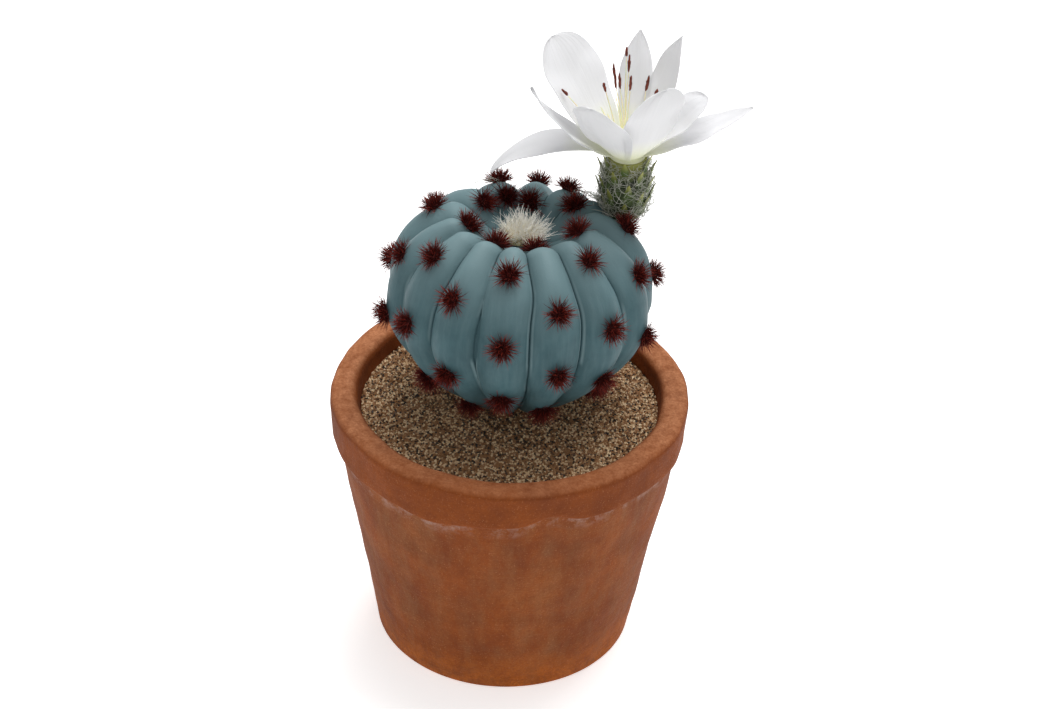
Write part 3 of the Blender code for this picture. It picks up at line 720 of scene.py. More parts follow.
class CACTUS_OT_sand(bpy.types.Operator):
    """Fills the pot with sand and strews its top with separate grains"""

    bl_idname = "cactus.sand"
    bl_label = "Sand"

    def execute(self, context):
        sand = context.scene.cactus_sand
        pot = context.scene.cactus_pot
        edge = pot_inside_radius(pot, sand.edge_height) - 0.3 * MM
        steps = 60
        columns = 160
        rows = []
        for step in range(steps, -1, -1):
            radius = edge * (1 - step / steps) + 0.4 * MM * (step / steps)
            rows.append(sand_ring(sand, radius, columns))
        rows.append(sand_ring(sand, edge - 2 * MM, columns, sand.edge_height - 6 * MM))
        rows.append(sand_ring(sand, pot.base_inside - 3 * MM, columns, pot.floor + 0.3 * MM))
        bed = object_from_bmesh("sand_bed", ring_mesh(rows))
        finish_piece(bed, sand_material(sand, "River sand, packed", False), "sand")
        self.strew(sand, edge)
        return {"FINISHED"}

    def strew(self, sand, edge):
        shape = bmesh.new()
        bmesh.ops.create_uvsphere(shape, u_segments=4, v_segments=2, radius=sand.grain / 2)
        draw = random.Random(3)
        for vert in shape.verts:
            vert.co *= draw.uniform(0.72, 1.15)
        ground = bmesh.new()
        steps = 30
        rings = []
        for step in range(steps + 1):
            radius = (edge - 0.4 * MM) * step / steps + 0.5 * MM
            rings.append([ground.verts.new(point) for point in sand_ring(sand, radius, 90)])
        join_rings(ground, rings)
        material = sand_material(sand, "River sand, loose grains", True)
        values = {
            "Spacing": sand.spacing,
            "Density": GRAINS_PER_M2,
            "Smallest": (0.65, 0.65, 0.6),
            "Largest": (1.3, 1.3, 1.25),
            "Tilt": 0.6,
            "Seed": 5,
            "Material": material,
        }
        grains = scatter("sand_grains", ground, shape, values)
        finish_piece(grains, material, "sand", sharp_angle=20.0)


def body_matrix():
    """Where the plant's own frame stands in the pot: lifted, and leaning slightly back."""
    lean = Matrix.Rotation(BODY_TILT_BACK, 4, "X") @ Matrix.Rotation(BODY_TILT_SIDE, 4, "Y")
    return Matrix.Translation(BODY_CENTRE) @ lean


def rib_bearing(place):
    """Bearing of a place counted in ribs from the front one, in between for a share of a rib."""
    rib = math.floor(place)
    here = RIBS[rib % len(RIBS)][0] + 360 * (rib // len(RIBS))
    after = RIBS[(rib + 1) % len(RIBS)][0] + 360 * ((rib + 1) // len(RIBS))
    return math.radians(here + (after - here) * (place - rib))


def place_at(bearing):
    """The place, counted in ribs, that lies at a bearing."""
    degrees = (math.degrees(bearing) - RIBS[0][0]) % 360 + RIBS[0][0]
    for rib, (start, _) in enumerate(RIBS):
        end = RIBS[(rib + 1) % len(RIBS)][0] + (360 if rib == len(RIBS) - 1 else 0)
        if start <= degrees < end:
            return rib + (degrees - start) / (end - start)
    return 0.0


def body_profile(body, turn):
    """Radius, height and outward normal (radial, upward) of the ribs' crest line, as turn runs down it."""
    upper = math.cos(turn) > 0
    squareness = TOP_SQUARENESS if upper else BOTTOM_SQUARENESS
    reach = BODY_TOP if upper else BODY_BOTTOM
    radius = body.radius * abs(math.sin(turn)) ** (2 / squareness)
    height = math.copysign(reach * abs(math.cos(turn)) ** (2 / squareness), math.cos(turn))
    out = (radius / body.radius) ** (squareness - 1) / body.radius
    up = math.copysign(abs(height / reach) ** (squareness - 1) / reach, height)
    slope = math.hypot(out, up)
    if upper:
        share = min(max((CROWN_RADIUS - radius) / (CROWN_RADIUS - CROWN_FLOOR), 0.0), 1.0)
        height -= CROWN_DEPTH * share * share * (3 - 2 * share)
    return radius, height, out / slope, up / slope


def crest_point(body, turn, place):
    """A point of the skin before its furrows are pressed in, in the plant's own frame."""
    radius, height, _, _ = body_profile(body, turn)
    return around(radius, rib_bearing(place), height)


def furrow_push(body, turn, place):
    """Which way and how fully a furrow is pressed in, as a vector of length 1 where it is deepest."""
    radius, _, out, up = body_profile(body, turn)
    fullness = min(radius / (0.6 * body.radius), 1.0)
    return -fullness * around(out, rib_bearing(place), up)


def body_normal(body, turn, place):
    """Outward normal of the skin on a crest, by differences."""
    step = 0.02
    down = crest_point(body, turn + step, place) - crest_point(body, turn - step, place)
    sideways = crest_point(body, turn, place + step) - crest_point(body, turn, place - step)
    return down.cross(sideways).normalized()


def turn_at_radius(body, radius):
    return math.asin((radius / body.radius) ** (TOP_SQUARENESS / 2))


def body_turns(body):
    """The rows of the skin: even steps of radius over the crown, then even turns to the neck."""
    crown_rows = 40
    side_rows = 90
    innermost = 2
    crown_width = 26
    neck_drop = 0.925
    turns = []
    for row in range(crown_rows + 1):
        turns.append(turn_at_radius(body, (innermost + crown_width * row / crown_rows) * MM))
    start = turns[-1]
    last = math.acos(-(neck_drop ** (BOTTOM_SQUARENESS / 2)))
    return turns + [start + (last - start) * (row + 1) / side_rows for row in range(side_rows)]


def rib_columns():
    """Places across one rib from its crest, closer together towards the furrows."""
    steps = 13
    crowding = 1.5
    half = [0.5 * (1 - (1 - i / steps) ** crowding) for i in range(steps + 1)]
    return [-share for share in reversed(half[1:-1])] + half


def rib_tree():
    """Presses furrows into a body, deepest half a rib from a crest, each point along its own push."""
    tree, given = input_tree(
        "Ribs", Geometry="Geometry", Depth="Float", Roundness="Float", Material="Material"
    )
    across = add_node(tree, "GeometryNodeInputNamedAttribute", {"Name": "across"}, data_type="FLOAT")
    push = add_node(tree, "GeometryNodeInputNamedAttribute", {"Name": "push"}, data_type="FLOAT_VECTOR")
    angle = add_node(tree, "ShaderNodeMath", {0: across, 1: math.pi}, operation="MULTIPLY")
    crest = add_node(tree, "ShaderNodeMath", {0: angle}, operation="COSINE")
    rounded = add_node(tree, "ShaderNodeMath", {0: crest, 1: given["Roundness"]}, operation="POWER")
    furrow = add_node(tree, "ShaderNodeMath", {0: 1.0, 1: rounded}, operation="SUBTRACT")
    depth = add_node(tree, "ShaderNodeMath", {0: furrow, 1: given["Depth"]}, operation="MULTIPLY")
    offset = add_node(tree, "ShaderNodeVectorMath", {0: push, "Scale": depth}, operation="SCALE")
    pressed = add_node(tree, "GeometryNodeSetPosition", {"Geometry": given["Geometry"], "Offset": offset})
    end_tree(tree, pressed, given["Material"])
    return tree


def skin_material(body):
    """Soft vinyl skin, moulded and dusted with a pale waxy bloom: satin, faintly streaked and mottled, with
    painted highlights on the top and along the furrows' lips, and painted shade in the furrows.
    """
    material, tree, shader = new_material("Vinyl skin, moulded and dusted")
    place = add_node(tree, "ShaderNodeTexCoord", {}).outputs["Object"]
    height = add_node(tree, "ShaderNodeSeparateXYZ", {"Vector": place}).outputs["Z"]
    across = add_node(tree, "ShaderNodeAttribute", {}, attribute_name="across").outputs["Fac"]
    unrolled = add_node(tree, "ShaderNodeAttribute", {}, attribute_name="skin").outputs["Vector"]
    lengthwise = add_node(tree, "ShaderNodeMapping", {"Vector": unrolled, "Scale": (1.0, 1.0, 0.15)})
    streaks = mask(tree, (lengthwise, 2.4 * MM, 5.0, 0.6))
    mottle = mask(tree, (place, 16 * MM, 5.0, 0.6), 0.35, 0.65, 0.35, 1.0)
    # Painted highlight: the skin is painted paler with the wax colour towards the top, where light from
    # above falls.
    top_highlight = mask(tree, height, 138 * MM, 160 * MM, 0.0, 0.85)
    # Painted highlights: thin pale lines of the wax colour on both lips of each furrow, where grazing light
    # catches the lobes' edges; noise breaks them up.
    lip_highlight_outside = mask(tree, across, 0.43, 0.46)
    lip_highlight_inside = mask(tree, across, 0.49, 0.465)
    broken = mask(tree, (place, 20 * MM, 2.0, 0.5), 0.48, 0.58)
    shade = painted(
        tree,
        body.shade,
        (body.skin, mottle),
        (body.wax, mask(tree, streaks, 0.42, 0.75, 0.0, 0.28)),
        (body.wax, top_highlight),
        (body.wax, lip_highlight_outside, lip_highlight_inside, broken),
        # Painted shade: the bottoms of the furrows are painted darker.
        (body.shade, mask(tree, across, 0.475, 0.495, 0.0, 0.6)),
    )
    roughness = mask(tree, streaks, 0.3, 0.7, 0.45, 0.6)
    rough = relief(tree, (mask(tree, (place, 0.9 * MM, 3.0, 0.6)), 0.06 * MM), (streaks, 0.08 * MM))
    surface = {"Base Color": shade, "Roughness": roughness, "Specular IOR Level": 0.15, "Normal": rough}
    give(tree, shader, surface)
    return material


class CACTUS_OT_skin(bpy.types.Operator):
    """Builds the ribbed body of the cactus and its neck in the sand"""

    bl_idname = "cactus.skin"
    bl_label = "Cactus skin"

    def execute(self, context):
        body = context.scene.cactus_body
        sand = context.scene.cactus_sand
        places = [rib + column for rib in range(len(RIBS)) for column in rib_columns()]
        to_world = body_matrix()
        rows = []
        skin = []
        across = []
        push = []
        along = 0.0
        before = None
        for turn in body_turns(body):
            here = crest_point(body, turn, 0)
            along += (here - before).length if before else 0.0
            before = here
            row = []
            for place in places:
                sway = body.swing * noise.noise(Vector((math.floor(place) * 1.7, turn * 1.6, 2.0)))
                swung = place + sway * math.sin(math.pi * (place % 1)) ** 2
                point = crest_point(body, turn, swung)
                stray = noise.noise(point * 70) + 0.4 * noise.noise(point * 190 + Vector((5, 0, 0)))
                row.append(to_world @ (point + point.normalized() * body.unevenness * stray))
                push.extend(to_world.to_3x3() @ furrow_push(body, turn, swung))
                skin.extend(around(body.radius, rib_bearing(place), along))
                across.append(abs((place + 0.5) % 1 - 0.5))
            rows.append(row)
        for height in (sand.edge_height + sand.mound + 0.6 * MM, NECK_FOOT):
            row = []
            for place in places:
                bearing = rib_bearing(place)
                row.append(Vector((BODY_CENTRE.x, BODY_CENTRE.y, height)) + around(NECK_RADIUS, bearing, 0))
                push.extend((0.0, 0.0, 0.0))
                skin.extend(around(body.radius, bearing, along))
                # Half a rib across, so the neck is painted with the furrows' shade.
                across.append(0.5)
            rows.append(row)
        obj = object_from_bmesh("cactus_skin", ring_mesh(rows))
        set_attribute(obj, "across", across)
        set_attribute(obj, "skin", skin, "FLOAT_VECTOR")
        set_attribute(obj, "push", push, "FLOAT_VECTOR")
        material = skin_material(body)
        values = {"Depth": body.rib_depth, "Roundness": body.roundness, "Material": material}
        run_tree(obj, rib_tree(), values)
        finish_piece(obj, material, "cactus_body", sharp_angle=80.0)
        return {"FINISHED"}


def core_material(tufts):
    """Felted fibre, glued in a dab: very dark red-brown, with no shine."""
    material, tree, shader = new_material("Felt dab, dyed dark")
    place = add_node(tree, "ShaderNodeTexCoord", {}).outputs["Object"]
    fleck = mask(tree, (place, 0.5 * MM, 2.0, 0.6))
    shade = painted(tree, tufts.core, (tufts.root, fleck))
    rough = relief(tree, (fleck, 0.3 * MM))
    give(tree, shader, {"Base Color": shade, "Roughness": 0.95, "Normal": rough})
    return material


def bristle_material(tufts):
    """Nylon bristles, dyed: dark at the root, and painted red at the tips as painted light, standing in for
    light that gets through them.
    """
    material, tree, shader = new_material("Nylon bristles, dyed red-brown")
    along = add_node(tree, "ShaderNodeAttribute", {}, attribute_name="along").outputs["Fac"]
    tone = add_node(tree, "ShaderNodeAttribute", {}, attribute_name="tone").outputs["Fac"]
    # Painted light: the bristles' tips are painted redder, standing in for light shining through them.
    tip_light = add_node(tree, "ShaderNodeMath", {0: along, 1: tone}, operation="MULTIPLY")
    shade = painted(tree, tufts.root, (tufts.tip, mask(tree, tip_light, 0.2, 0.9)))
    give(tree, shader, {"Base Color": shade, "Roughness": 0.6, "Specular IOR Level": 0.15})
    return material


def bristle_shape(length, width):
    """One slim three-sided bristle, slightly bent, with how far along it each point lies."""
    shape = bmesh.new()
    along = shape.verts.layers.float.new("along")
    bend = 0.12
    rings = []
    for share, thick in ((0.0, 1.0), (0.6, 0.75)):
        ring = []
        for side in range(3):
            angle = 2 * math.pi * side / 3
            x = width / 2 * thick * math.cos(angle) + bend * length * share * share
            vert = shape.verts.new((x, width / 2 * thick * math.sin(angle), length * share))
            vert[along] = share
            ring.append(vert)
        rings.append(ring)
    tip = shape.verts.new((bend * length, 0, length))
    tip[along] = 1.0
    root, middle = rings
    for i in range(3):
        after = (i + 1) % 3
        shape.faces.new((root[i], root[after], middle[after], middle[i]))
        shape.faces.new((middle[i], middle[after], tip))
    shape.faces.new(list(reversed(root)))
    return shape


class CACTUS_OT_tufts(bpy.types.Operator):
    """Sets a tuft of fine bristles on each areole of the ribs"""

    bl_idname = "cactus.tufts"
    bl_label = "Bristle tufts"

    def execute(self, context):
        body = context.scene.cactus_body
        tufts = context.scene.cactus_tufts
        to_world = body_matrix()
        seats = bmesh.new()
        ground = bmesh.new()
        draw = random.Random(21)
        for rib, (_, turns) in enumerate(RIBS):
            for degrees in turns:
                turn = math.radians(degrees)
                facing = body_normal(body, turn, rib).to_track_quat("Z", "Y").to_matrix().to_4x4()
                place = to_world @ Matrix.Translation(crest_point(body, turn, rib)) @ facing
                place = place @ Matrix.Rotation(draw.uniform(0, math.pi), 4, "Z")
                place = place @ Matrix.Diagonal((draw.uniform(1.0, 1.45), draw.uniform(0.9, 1.1), 0.7, 1))
                for shape in (seats, ground):
                    made = bmesh.ops.create_icosphere(
                        shape, subdivisions=2, radius=tufts.core_radius, matrix=place
                    )
                to_core = place.inverted()
                low = [vert for vert in made["verts"] if (to_core @ vert.co).z < -0.4 * tufts.core_radius]
                bmesh.ops.delete(ground, geom=low, context="VERTS")
        cores = object_from_bmesh("tuft_cores", seats)
        finish_piece(cores, core_material(tufts), "cactus_body")
        material = bristle_material(tufts)
        values = {
            "Spacing": tufts.spacing,
            "Density": BRISTLES_PER_M2,
            "Smallest": (0.8, 0.8, 0.4),
            "Largest": (1.2, 1.2, 1.2),
            "Tilt": 0.4,
            "Seed": 8,
            "Material": material,
        }
        shape = bristle_shape(tufts.bristle_length, tufts.bristle_width)
        bristles = scatter("tuft_bristles", ground, shape, values)
        finish_piece(bristles, material, "cactus_body")
        return {"FINISHED"}


def wool_material(wool):
    """Acrylic wool: creamy at the root and white at the tips, soft and without shine."""
    material, tree, shader = new_material("Acrylic wool, cream")
    along = add_node(tree, "ShaderNodeAttribute", {}, attribute_name="along").outputs["Fac"]
    shade = painted(tree, wool.cream, (wool.white, mask(tree, along, 0.0, 0.6)))
    give(tree, shader, {"Base Color": shade, "Roughness": 0.7})
    return material


def pad_material(wool):
    """Felted wool pad: olive-cream, matt and lumpy."""
    material, tree, shader = new_material("Wool felt, olive cream")
    place = add_node(tree, "ShaderNodeTexCoord", {}).outputs["Object"]
    lumps = mask(tree, (place, 1.2 * MM, 3.0, 0.6))
    shade = painted(tree, wool.pad, (wool.cream, mask(tree, lumps, 0.35, 0.7)))
    rough = relief(tree, (lumps, 0.4 * MM))
    give(tree, shader, {"Base Color": shade, "Roughness": 0.95, "Normal": rough})
    return material


class CACTUS_OT_wool(bpy.types.Operator):
    """Builds the woolly pad in the hollow of the crown"""

    bl_idname = "cactus.wool"
    bl_label = "Crown wool"

    def execute(self, context):
        wool = context.scene.cactus_wool
        floor = body_profile(context.scene.cactus_body, 0.05)[1]
        place = body_matrix() @ Matrix.Translation((0, 0, floor + 0.45 * MM))
        shape = bmesh.new()
        bmesh.ops.create_icosphere(shape, subdivisions=4, radius=wool.radius)
        for vert in shape.verts:
            bumps = 1 + 0.12 * noise.noise(vert.co * 900)
            vert.co.z = max(vert.co.z, 0.0) * wool.height / wool.radius * bumps
        bmesh.ops.remove_doubles(shape, verts=shape.verts, dist=0.01 * MM)
        bmesh.ops.recalc_face_normals(shape, faces=shape.faces)
        bmesh.ops.transform(shape, matrix=place, verts=shape.verts)
        finish_piece(object_from_bmesh("wool_pad", shape), pad_material(wool), "crown_wool")
        draw = random.Random(31)
        material = wool_material(wool)
        paths = [self.hair(wool, draw, place) for _ in range(wool.hairs)]
        hairs = strands("wool_hairs", paths, 0.13 * MM, 0.35, 3, material)
        finish_piece(hairs, material, "crown_wool")
        return {"FINISHED"}

    def hair(self, wool, draw, place):
        """One bent hair that stands on the pad and leans out, most of them short."""
        share = math.sqrt(draw.random())
        bearing = draw.uniform(0, 2 * math.pi)
        out = Vector((math.cos(bearing), math.sin(bearing), 0))
        root = out * wool.radius * 0.96 * share
        root.z = wool.height * math.sqrt(max(1 - share * share, 0.0)) * 0.8
        stray = Vector((draw.uniform(-0.45, 0.65), draw.uniform(-0.6, 0.5), 0.9))
        lean = (out * (0.2 + 0.7 * share**2) + stray).normalized()
        length = wool.hair_length * (0.4 + 1.1 * draw.random() ** 2.5) * (1 - 0.2 * share)
        bend = Vector((draw.uniform(-0.35, 0.35), draw.uniform(-0.35, 0.35), draw.uniform(-0.2, 0.1)))
        ways = [step / 4 for step in range(5)]
        return [place @ (root + (lean * way + bend * way * way) * length) for way in ways]


def tube_radius(tube, height):
    """Outline of the flower tube: round at its foot, full in the middle, a little drawn in at its mouth."""
    share = min((height - tube.foot) / (TUBE_TOP - tube.foot), 1.0)
    if share < 0.5:
        return tube.radius * math.sqrt(max(1 - (1 - 2 * max(share, 0.0)) ** 2.2, 0.0))
    return tube.radius - (tube.radius - tube.mouth_radius) * (2 * share - 1) ** 2


def flower_spot(radius, bearing, height):
    """A point at a radius, bearing and height round the flower's axis."""
    return Vector((FLOWER_X + radius * math.sin(bearing), FLOWER_Y - radius * math.cos(bearing), height))


def tube_spot(tube, bearing, height, lift):
    return flower_spot(tube_radius(tube, height) + lift, bearing, height)


def tube_material(tube):
    """Latex-dipped foam, tinted: dull green with darker hollows, like a hairy bud."""
    material, tree, shader = new_material("Latex-dipped foam, green")
    place = add_node(tree, "ShaderNodeTexCoord", {}).outputs["Object"]
    height = add_node(tree, "ShaderNodeSeparateXYZ", {"Vector": place}).outputs["Z"]
    patches = mask(tree, (place, 3 * MM, 4.0, 0.6), 0.35, 0.65)
    mouth = mask(tree, height, TUBE_TOP - 4 * MM, TUBE_TOP + 1 * MM, 0.0, 0.8)
    shade = painted(tree, tube.dark_green, (tube.green, patches), (tube.scale_tip, mouth))
    rough = relief(tree, (mask(tree, (place, 1.2 * MM, 3.0, 0.6)), 0.3 * MM))
    give(tree, shader, {"Base Color": shade, "Roughness": 0.7, "Normal": rough})
    return material


def scale_material(tube):
    """Soft plastic scales: green at the root and straw-yellow at the point."""
    material, tree, shader = new_material("Soft plastic scales, tinted")
    along = add_node(tree, "ShaderNodeAttribute", {}, attribute_name="along").outputs["Fac"]
    shade = painted(tree, tube.green, (tube.scale_tip, mask(tree, along, 0.2, 0.9)))
    give(tree, shader, {"Base Color": shade, "Roughness": 0.55})
    return material


def tube_hair_material(tube):
    """Polyester fibres, teased and glued on: pale grey-white threads with a faint sheen."""
    material, tree, shader = new_material("Polyester fibre, teased")
    place = add_node(tree, "ShaderNodeTexCoord", {}).outputs["Object"]
    tinted = mask(tree, (place, 4 * MM, 2.0, 0.5), 0.35, 0.65, 0.0, 0.45)
    give(tree, shader, {"Base Color": painted(tree, tube.hair, (tube.green, tinted)), "Roughness": 0.5})
    return material


class CACTUS_OT_flower_tube(bpy.types.Operator):
    """Builds the flower's green tube with its scales and matted hairs"""

    bl_idname = "cactus.flower_tube"
    bl_label = "Flower tube"

    def execute(self, context):
        tube = context.scene.cactus_tube
        self.skin(tube)
        self.scales(tube)
        material = tube_hair_material(tube)
        draw = random.Random(43)
        paths = [self.hair(tube, draw) for _ in range(tube.hairs)]
        hairs = strands("tube_hairs", paths, 0.08 * MM, 0.5, 3, material)
        finish_piece(hairs, material, "flower_tube")
        return {"FINISHED"}

    def skin(self, tube):
        steps = 40
        columns = 64
        rows = []
        for step in range(steps + 1):
            share = (1 - step / steps) ** 1.4
            height = tube.foot + (TUBE_TOP + tube.lip - tube.foot) * share + 0.05 * MM
            points = []
            for column in range(columns):
                bearing = 2 * math.pi * column / columns
                ripple = noise.noise(Vector((math.cos(bearing) * 3, math.sin(bearing) * 3, height * 250)))
                points.append(tube_spot(tube, bearing, height, 0.35 * MM * ripple * min(share * 6, 1)))
            rows.append(points)
        obj = object_from_bmesh("tube_skin", ring_mesh(rows))
        finish_piece(obj, tube_material(tube), "flower_tube")

    def scales(self, tube):
        """Rings of pointed scales, each ring's set between the last one's."""
        shape = bmesh.new()
        along = shape.verts.layers.float.new("along")
        draw = random.Random(41)
        tiers = 5
        in_ring = 6
        steps = 5
        for ring in range(tiers):
            for number in range(in_ring):
                place = (number + 0.5 * (ring % 2)) / in_ring
                bearing = 2 * math.pi * place + draw.uniform(-0.12, 0.12)
                height = tube.foot + (0.26 + 0.165 * ring) * (TUBE_TOP - tube.foot)
                root = tube_spot(tube, bearing, height, 0.0)
                out = around(1, bearing, 0)
                side = Vector((math.cos(bearing), math.sin(bearing), 0))
                length = draw.uniform(5.2, 7.0) * MM
                rings = []
                for step in range(steps + 1):
                    share = step / steps
                    lean = out * length * (0.12 * share + 0.24 * share**2)
                    middle = root + Vector((0, 0, length * share)) + lean
                    half = 1.25 * MM * math.cos(math.pi / 2 * share**1.3) + 0.05 * MM
                    corners = (-side * half, out * 0.45 * half, side * half, -out * 0.3 * MM)
                    rings.append([shape.verts.new(middle + corner) for corner in corners])
                    for vert in rings[-1]:
                        vert[along] = share
                join_rings(shape, rings)
                shape.faces.new(rings[0])
                shape.faces.new(list(reversed(rings[-1])))
        bmesh.ops.recalc_face_normals(shape, faces=shape.faces)
        obj = object_from_bmesh("tube_scales", shape)
        finish_piece(obj, scale_material(tube), "flower_tube")

    def hair(self, tube, draw):
        """One curling hair that wanders over the tube's skin."""
        bearing = draw.uniform(-math.pi, math.pi)
        height = tube.foot + (TUBE_TOP - tube.foot) * draw.uniform(0.12, 1.06)
        heading = draw.uniform(-math.pi, math.pi)
        curl = draw.uniform(-0.9, 0.9)
        step = tube.hair_length * draw.uniform(0.5, 1.2) / 7
        loft = draw.uniform(0.1, 0.6) * MM
        arch = draw.uniform(0.2, 2.0) * MM
        path = []
        for number in range(8):
            lift = loft + arch * math.sin(math.pi * number / 7)
            level = min(max(height, tube.foot + 1.5 * MM), TUBE_TOP + tube.lip)
            path.append(tube_spot(tube, bearing, level, lift))
            bearing += step * math.cos(heading) / tube.radius
            height += step * math.sin(heading)
            heading += curl * draw.uniform(0.3, 1.0)
        return path


class CACTUS_OT_fibres(bpy.types.Operator):
    """Lays stray white fibres over the crown and in a mat at the flower tube's foot"""

    bl_idname = "cactus.fibres"
    bl_label = "Stray fibres"

    def execute(self, context):
        body = context.scene.cactus_body
        draw = random.Random(61)
        paths = [self.fibre(body, draw, 124, 0.70) for _ in range(90)]
        paths += [self.fibre(body, draw, -150, 0.55) for _ in range(14)]
        material = tube_hair_material(context.scene.cactus_tube)
        obj = strands("stray_fibres", paths, 0.07 * MM, 0.5, 3, material)
        finish_piece(obj, material, "flower_tube")
        return {"FINISHED"}

    def fibre(self, body, draw, side, share):
        """A thin fibre that wanders over the skin near a bearing and a share of the body's radius."""
        bearing = math.radians(side + draw.gauss(0, 7))
        spot = around(body.radius * (share + draw.uniform(-0.1, 0.1)), bearing, 0)
        heading = draw.uniform(-math.pi, math.pi)
        curl = draw.uniform(-0.5, 0.5)
        step = draw.uniform(0.7, 1.5) * MM
        loft = draw.uniform(0.2, 1.2) * MM
        path = []
        for number in range(8):
            turn = turn_at_radius(body, min(spot.length, 0.95 * body.radius))
            skin = crest_point(body, turn, place_at(math.atan2(spot.x, -spot.y)))
            lift = loft + 1.2 * MM * math.sin(math.pi * number / 7)
            path.append(body_matrix() @ (skin + Vector((0, 0, lift))))
            spot += Vector((math.cos(heading), math.sin(heading), 0)) * step
            heading += curl
        return path


def petal_half_width(share, width, widest, bluntness):
    """Half the petal's width at a share of its length: it swells from the root, then closes to the tip."""
    if share < widest:
        swell = math.sin(math.pi / 2 * share / widest) ** 1.2
        return width / 2 * (0.34 + 0.66 * swell)
    closing = (share - widest) / (1 - widest)
    return width / 2 * math.cos(math.pi / 2 * min(closing, 1.0)) ** bluntness


def petal_material(petals):
    """Polyester cloth, stiffened and heat-pressed: white, faintly see-through, with fine pressed veins and a
    painted glow that stands in for light passing through.
    """
    material, tree, shader = new_material("Polyester petal cloth, pressed")
    along = add_node(tree, "ShaderNodeAttribute", {}, attribute_name="along").outputs["Fac"]
    across = add_node(tree, "ShaderNodeAttribute", {}, attribute_name="across").outputs["Fac"]
    stretched = mask(tree, along, 0.0, 1.0, 0.0, 2.0 * MM)
    lines = add_node(tree, "ShaderNodeCombineXYZ", {"X": across, "Y": stretched})
    veins = mask(tree, (lines, 1.4 * petals.vein_spacing, 2.0, 0.5))
    surface = {
        "Base Color": painted(tree, petals.white, (petals.base, mask(tree, along, 0.4, 0.0, 0.0, 0.8))),
        "Roughness": 0.65,
        "Subsurface Weight": 0.5,
        "Subsurface Radius": (1.0, 1.0, 1.0),
        "Subsurface Scale": 1.5 * MM,
        # Painted light: emission makes the cloth glow by itself.
        "Emission Color": petals.white,
        "Emission Strength": petals.glow,
        "Normal": relief(tree, (veins, 0.2 * MM)),
    }
    give(tree, shader, surface)
    return material


def petal_sheet(petals, number, form):
    """A petal's middle sheet, finely divided, with waved edges and a slight fold along its middle."""
    bearing, root_rise, tip_rise, length, width, widest, bluntness, cupping = form
    bearing = math.radians(bearing)
    side = Vector((math.cos(bearing), math.sin(bearing), 0))
    out = around(1, bearing, 0)
    spot = Vector((FLOWER_X, FLOWER_Y, TUBE_TOP + 2.0 * MM)) + out * petals.ring
    least_half = 0.06
    rows = 48
    columns = 16
    shape = bmesh.new()
    along = shape.verts.layers.float.new("along")
    place = shape.verts.layers.float.new("across")
    grid = []
    before = 0.0
    for row in range(rows + 1):
        share = 1 - (1 - row / rows) ** 1.5
        middle = math.radians(root_rise + (tip_rise - root_rise) * (share + before) / 2)
        heading = out * math.cos(middle) + Vector((0, 0, math.sin(middle)))
        spot = spot + heading * (share - before) * length * MM
        before = share
        rise = math.radians(root_rise + (tip_rise - root_rise) * share)
        inward = Vector((0, 0, math.cos(rise))) - out * math.sin(rise)
        half = max(petal_half_width(share, width, widest, bluntness), least_half) * MM
        line = []
        for column in range(columns + 1):
            part = 2 * column / columns - 1
            ripple = noise.noise(Vector((share * 4, part * 1.2, number * 7.3)))
            wave = petals.wave * ripple * (0.4 + abs(part)) * 2
            fold = -0.3 * MM * math.exp(-((part / 0.16) ** 2)) * math.sin(math.pi * min(share * 1.1, 1))
            rise_in = cupping * half * part * part + (wave + fold) * min(share * 3, 1)
            vert = shape.verts.new(spot + side * half * part + inward * rise_in)
            vert[along] = share
            vert[place] = part * width / 2 * MM + number
            line.append(vert)
        grid.append(line)
    for lower, upper in zip(grid, grid[1:]):
        for i in range(columns):
            shape.faces.new((lower[i], lower[i + 1], upper[i + 1], upper[i]))
    return shape


class CACTUS_OT_petals(bpy.types.Operator):
    """Builds the nine cloth petals and the small cup that holds them"""

    bl_idname = "cactus.petals"
    bl_label = "Petals"

    def execute(self, context):
        petals = context.scene.cactus_petals
        material = petal_material(petals)
        for number, (name, form) in enumerate(PETALS.items()):
            obj = object_from_bmesh(f"petal_{name}", petal_sheet(petals, number, form))
            wall = obj.modifiers.new("Thickness", "SOLIDIFY")
            wall.thickness = petals.thickness
            wall.offset = 0.0
            finish_piece(plain_mesh(obj), material, "flower_petals")
        columns = 48
        longest = 0.8
        bearings = [2 * math.pi * column / columns for column in range(columns)]
        rows = []
        for radius, height in closer_points(CUP_OUTLINE, longest):
            level = TUBE_TOP + height * MM
            rows.append([flower_spot(radius * MM, bearing, level) for bearing in bearings])
        cup = object_from_bmesh("petal_cup", ring_mesh(rows))
        set_attribute(cup, "along", [])
        set_attribute(cup, "across", [])
        finish_piece(cup, material, "flower_petals")
        return {"FINISHED"}


def filament_material(stamens):
    """Waxed thread: pale yellow, smooth and faintly see-through."""
    material, tree, shader = new_material("Waxed thread, pale yellow")
    place = add_node(tree, "ShaderNodeTexCoord", {}).outputs["Object"]
    waxed = mask(tree, (place, 2 * MM, 3.0, 0.6), 0.4, 0.7, 0.0, 0.5)
    surface = {
        "Base Color": painted(tree, stamens.yellow, (stamens.deep_yellow, waxed)),
        "Roughness": 0.4,
        "Subsurface Weight": 0.3,
        "Subsurface Scale": 0.5 * MM,
    }
    give(tree, shader, surface)
    return material


def anther_material(stamens):
    """Flocked tips: red-brown, lumpy and dusty."""
    material, tree, shader = new_material("Flocked tips, red-brown")
    place = add_node(tree, "ShaderNodeTexCoord", {}).outputs["Object"]
    lumps = mask(tree, (place, 0.7 * MM, 3.0, 0.6))
    shade = painted(tree, stamens.brown, (stamens.dark_brown, mask(tree, lumps, 0.35, 0.7)))
    rough = relief(tree, (lumps, 0.2 * MM))
    give(tree, shader, {"Base Color": shade, "Roughness": 0.8, "Normal": rough})
    return material


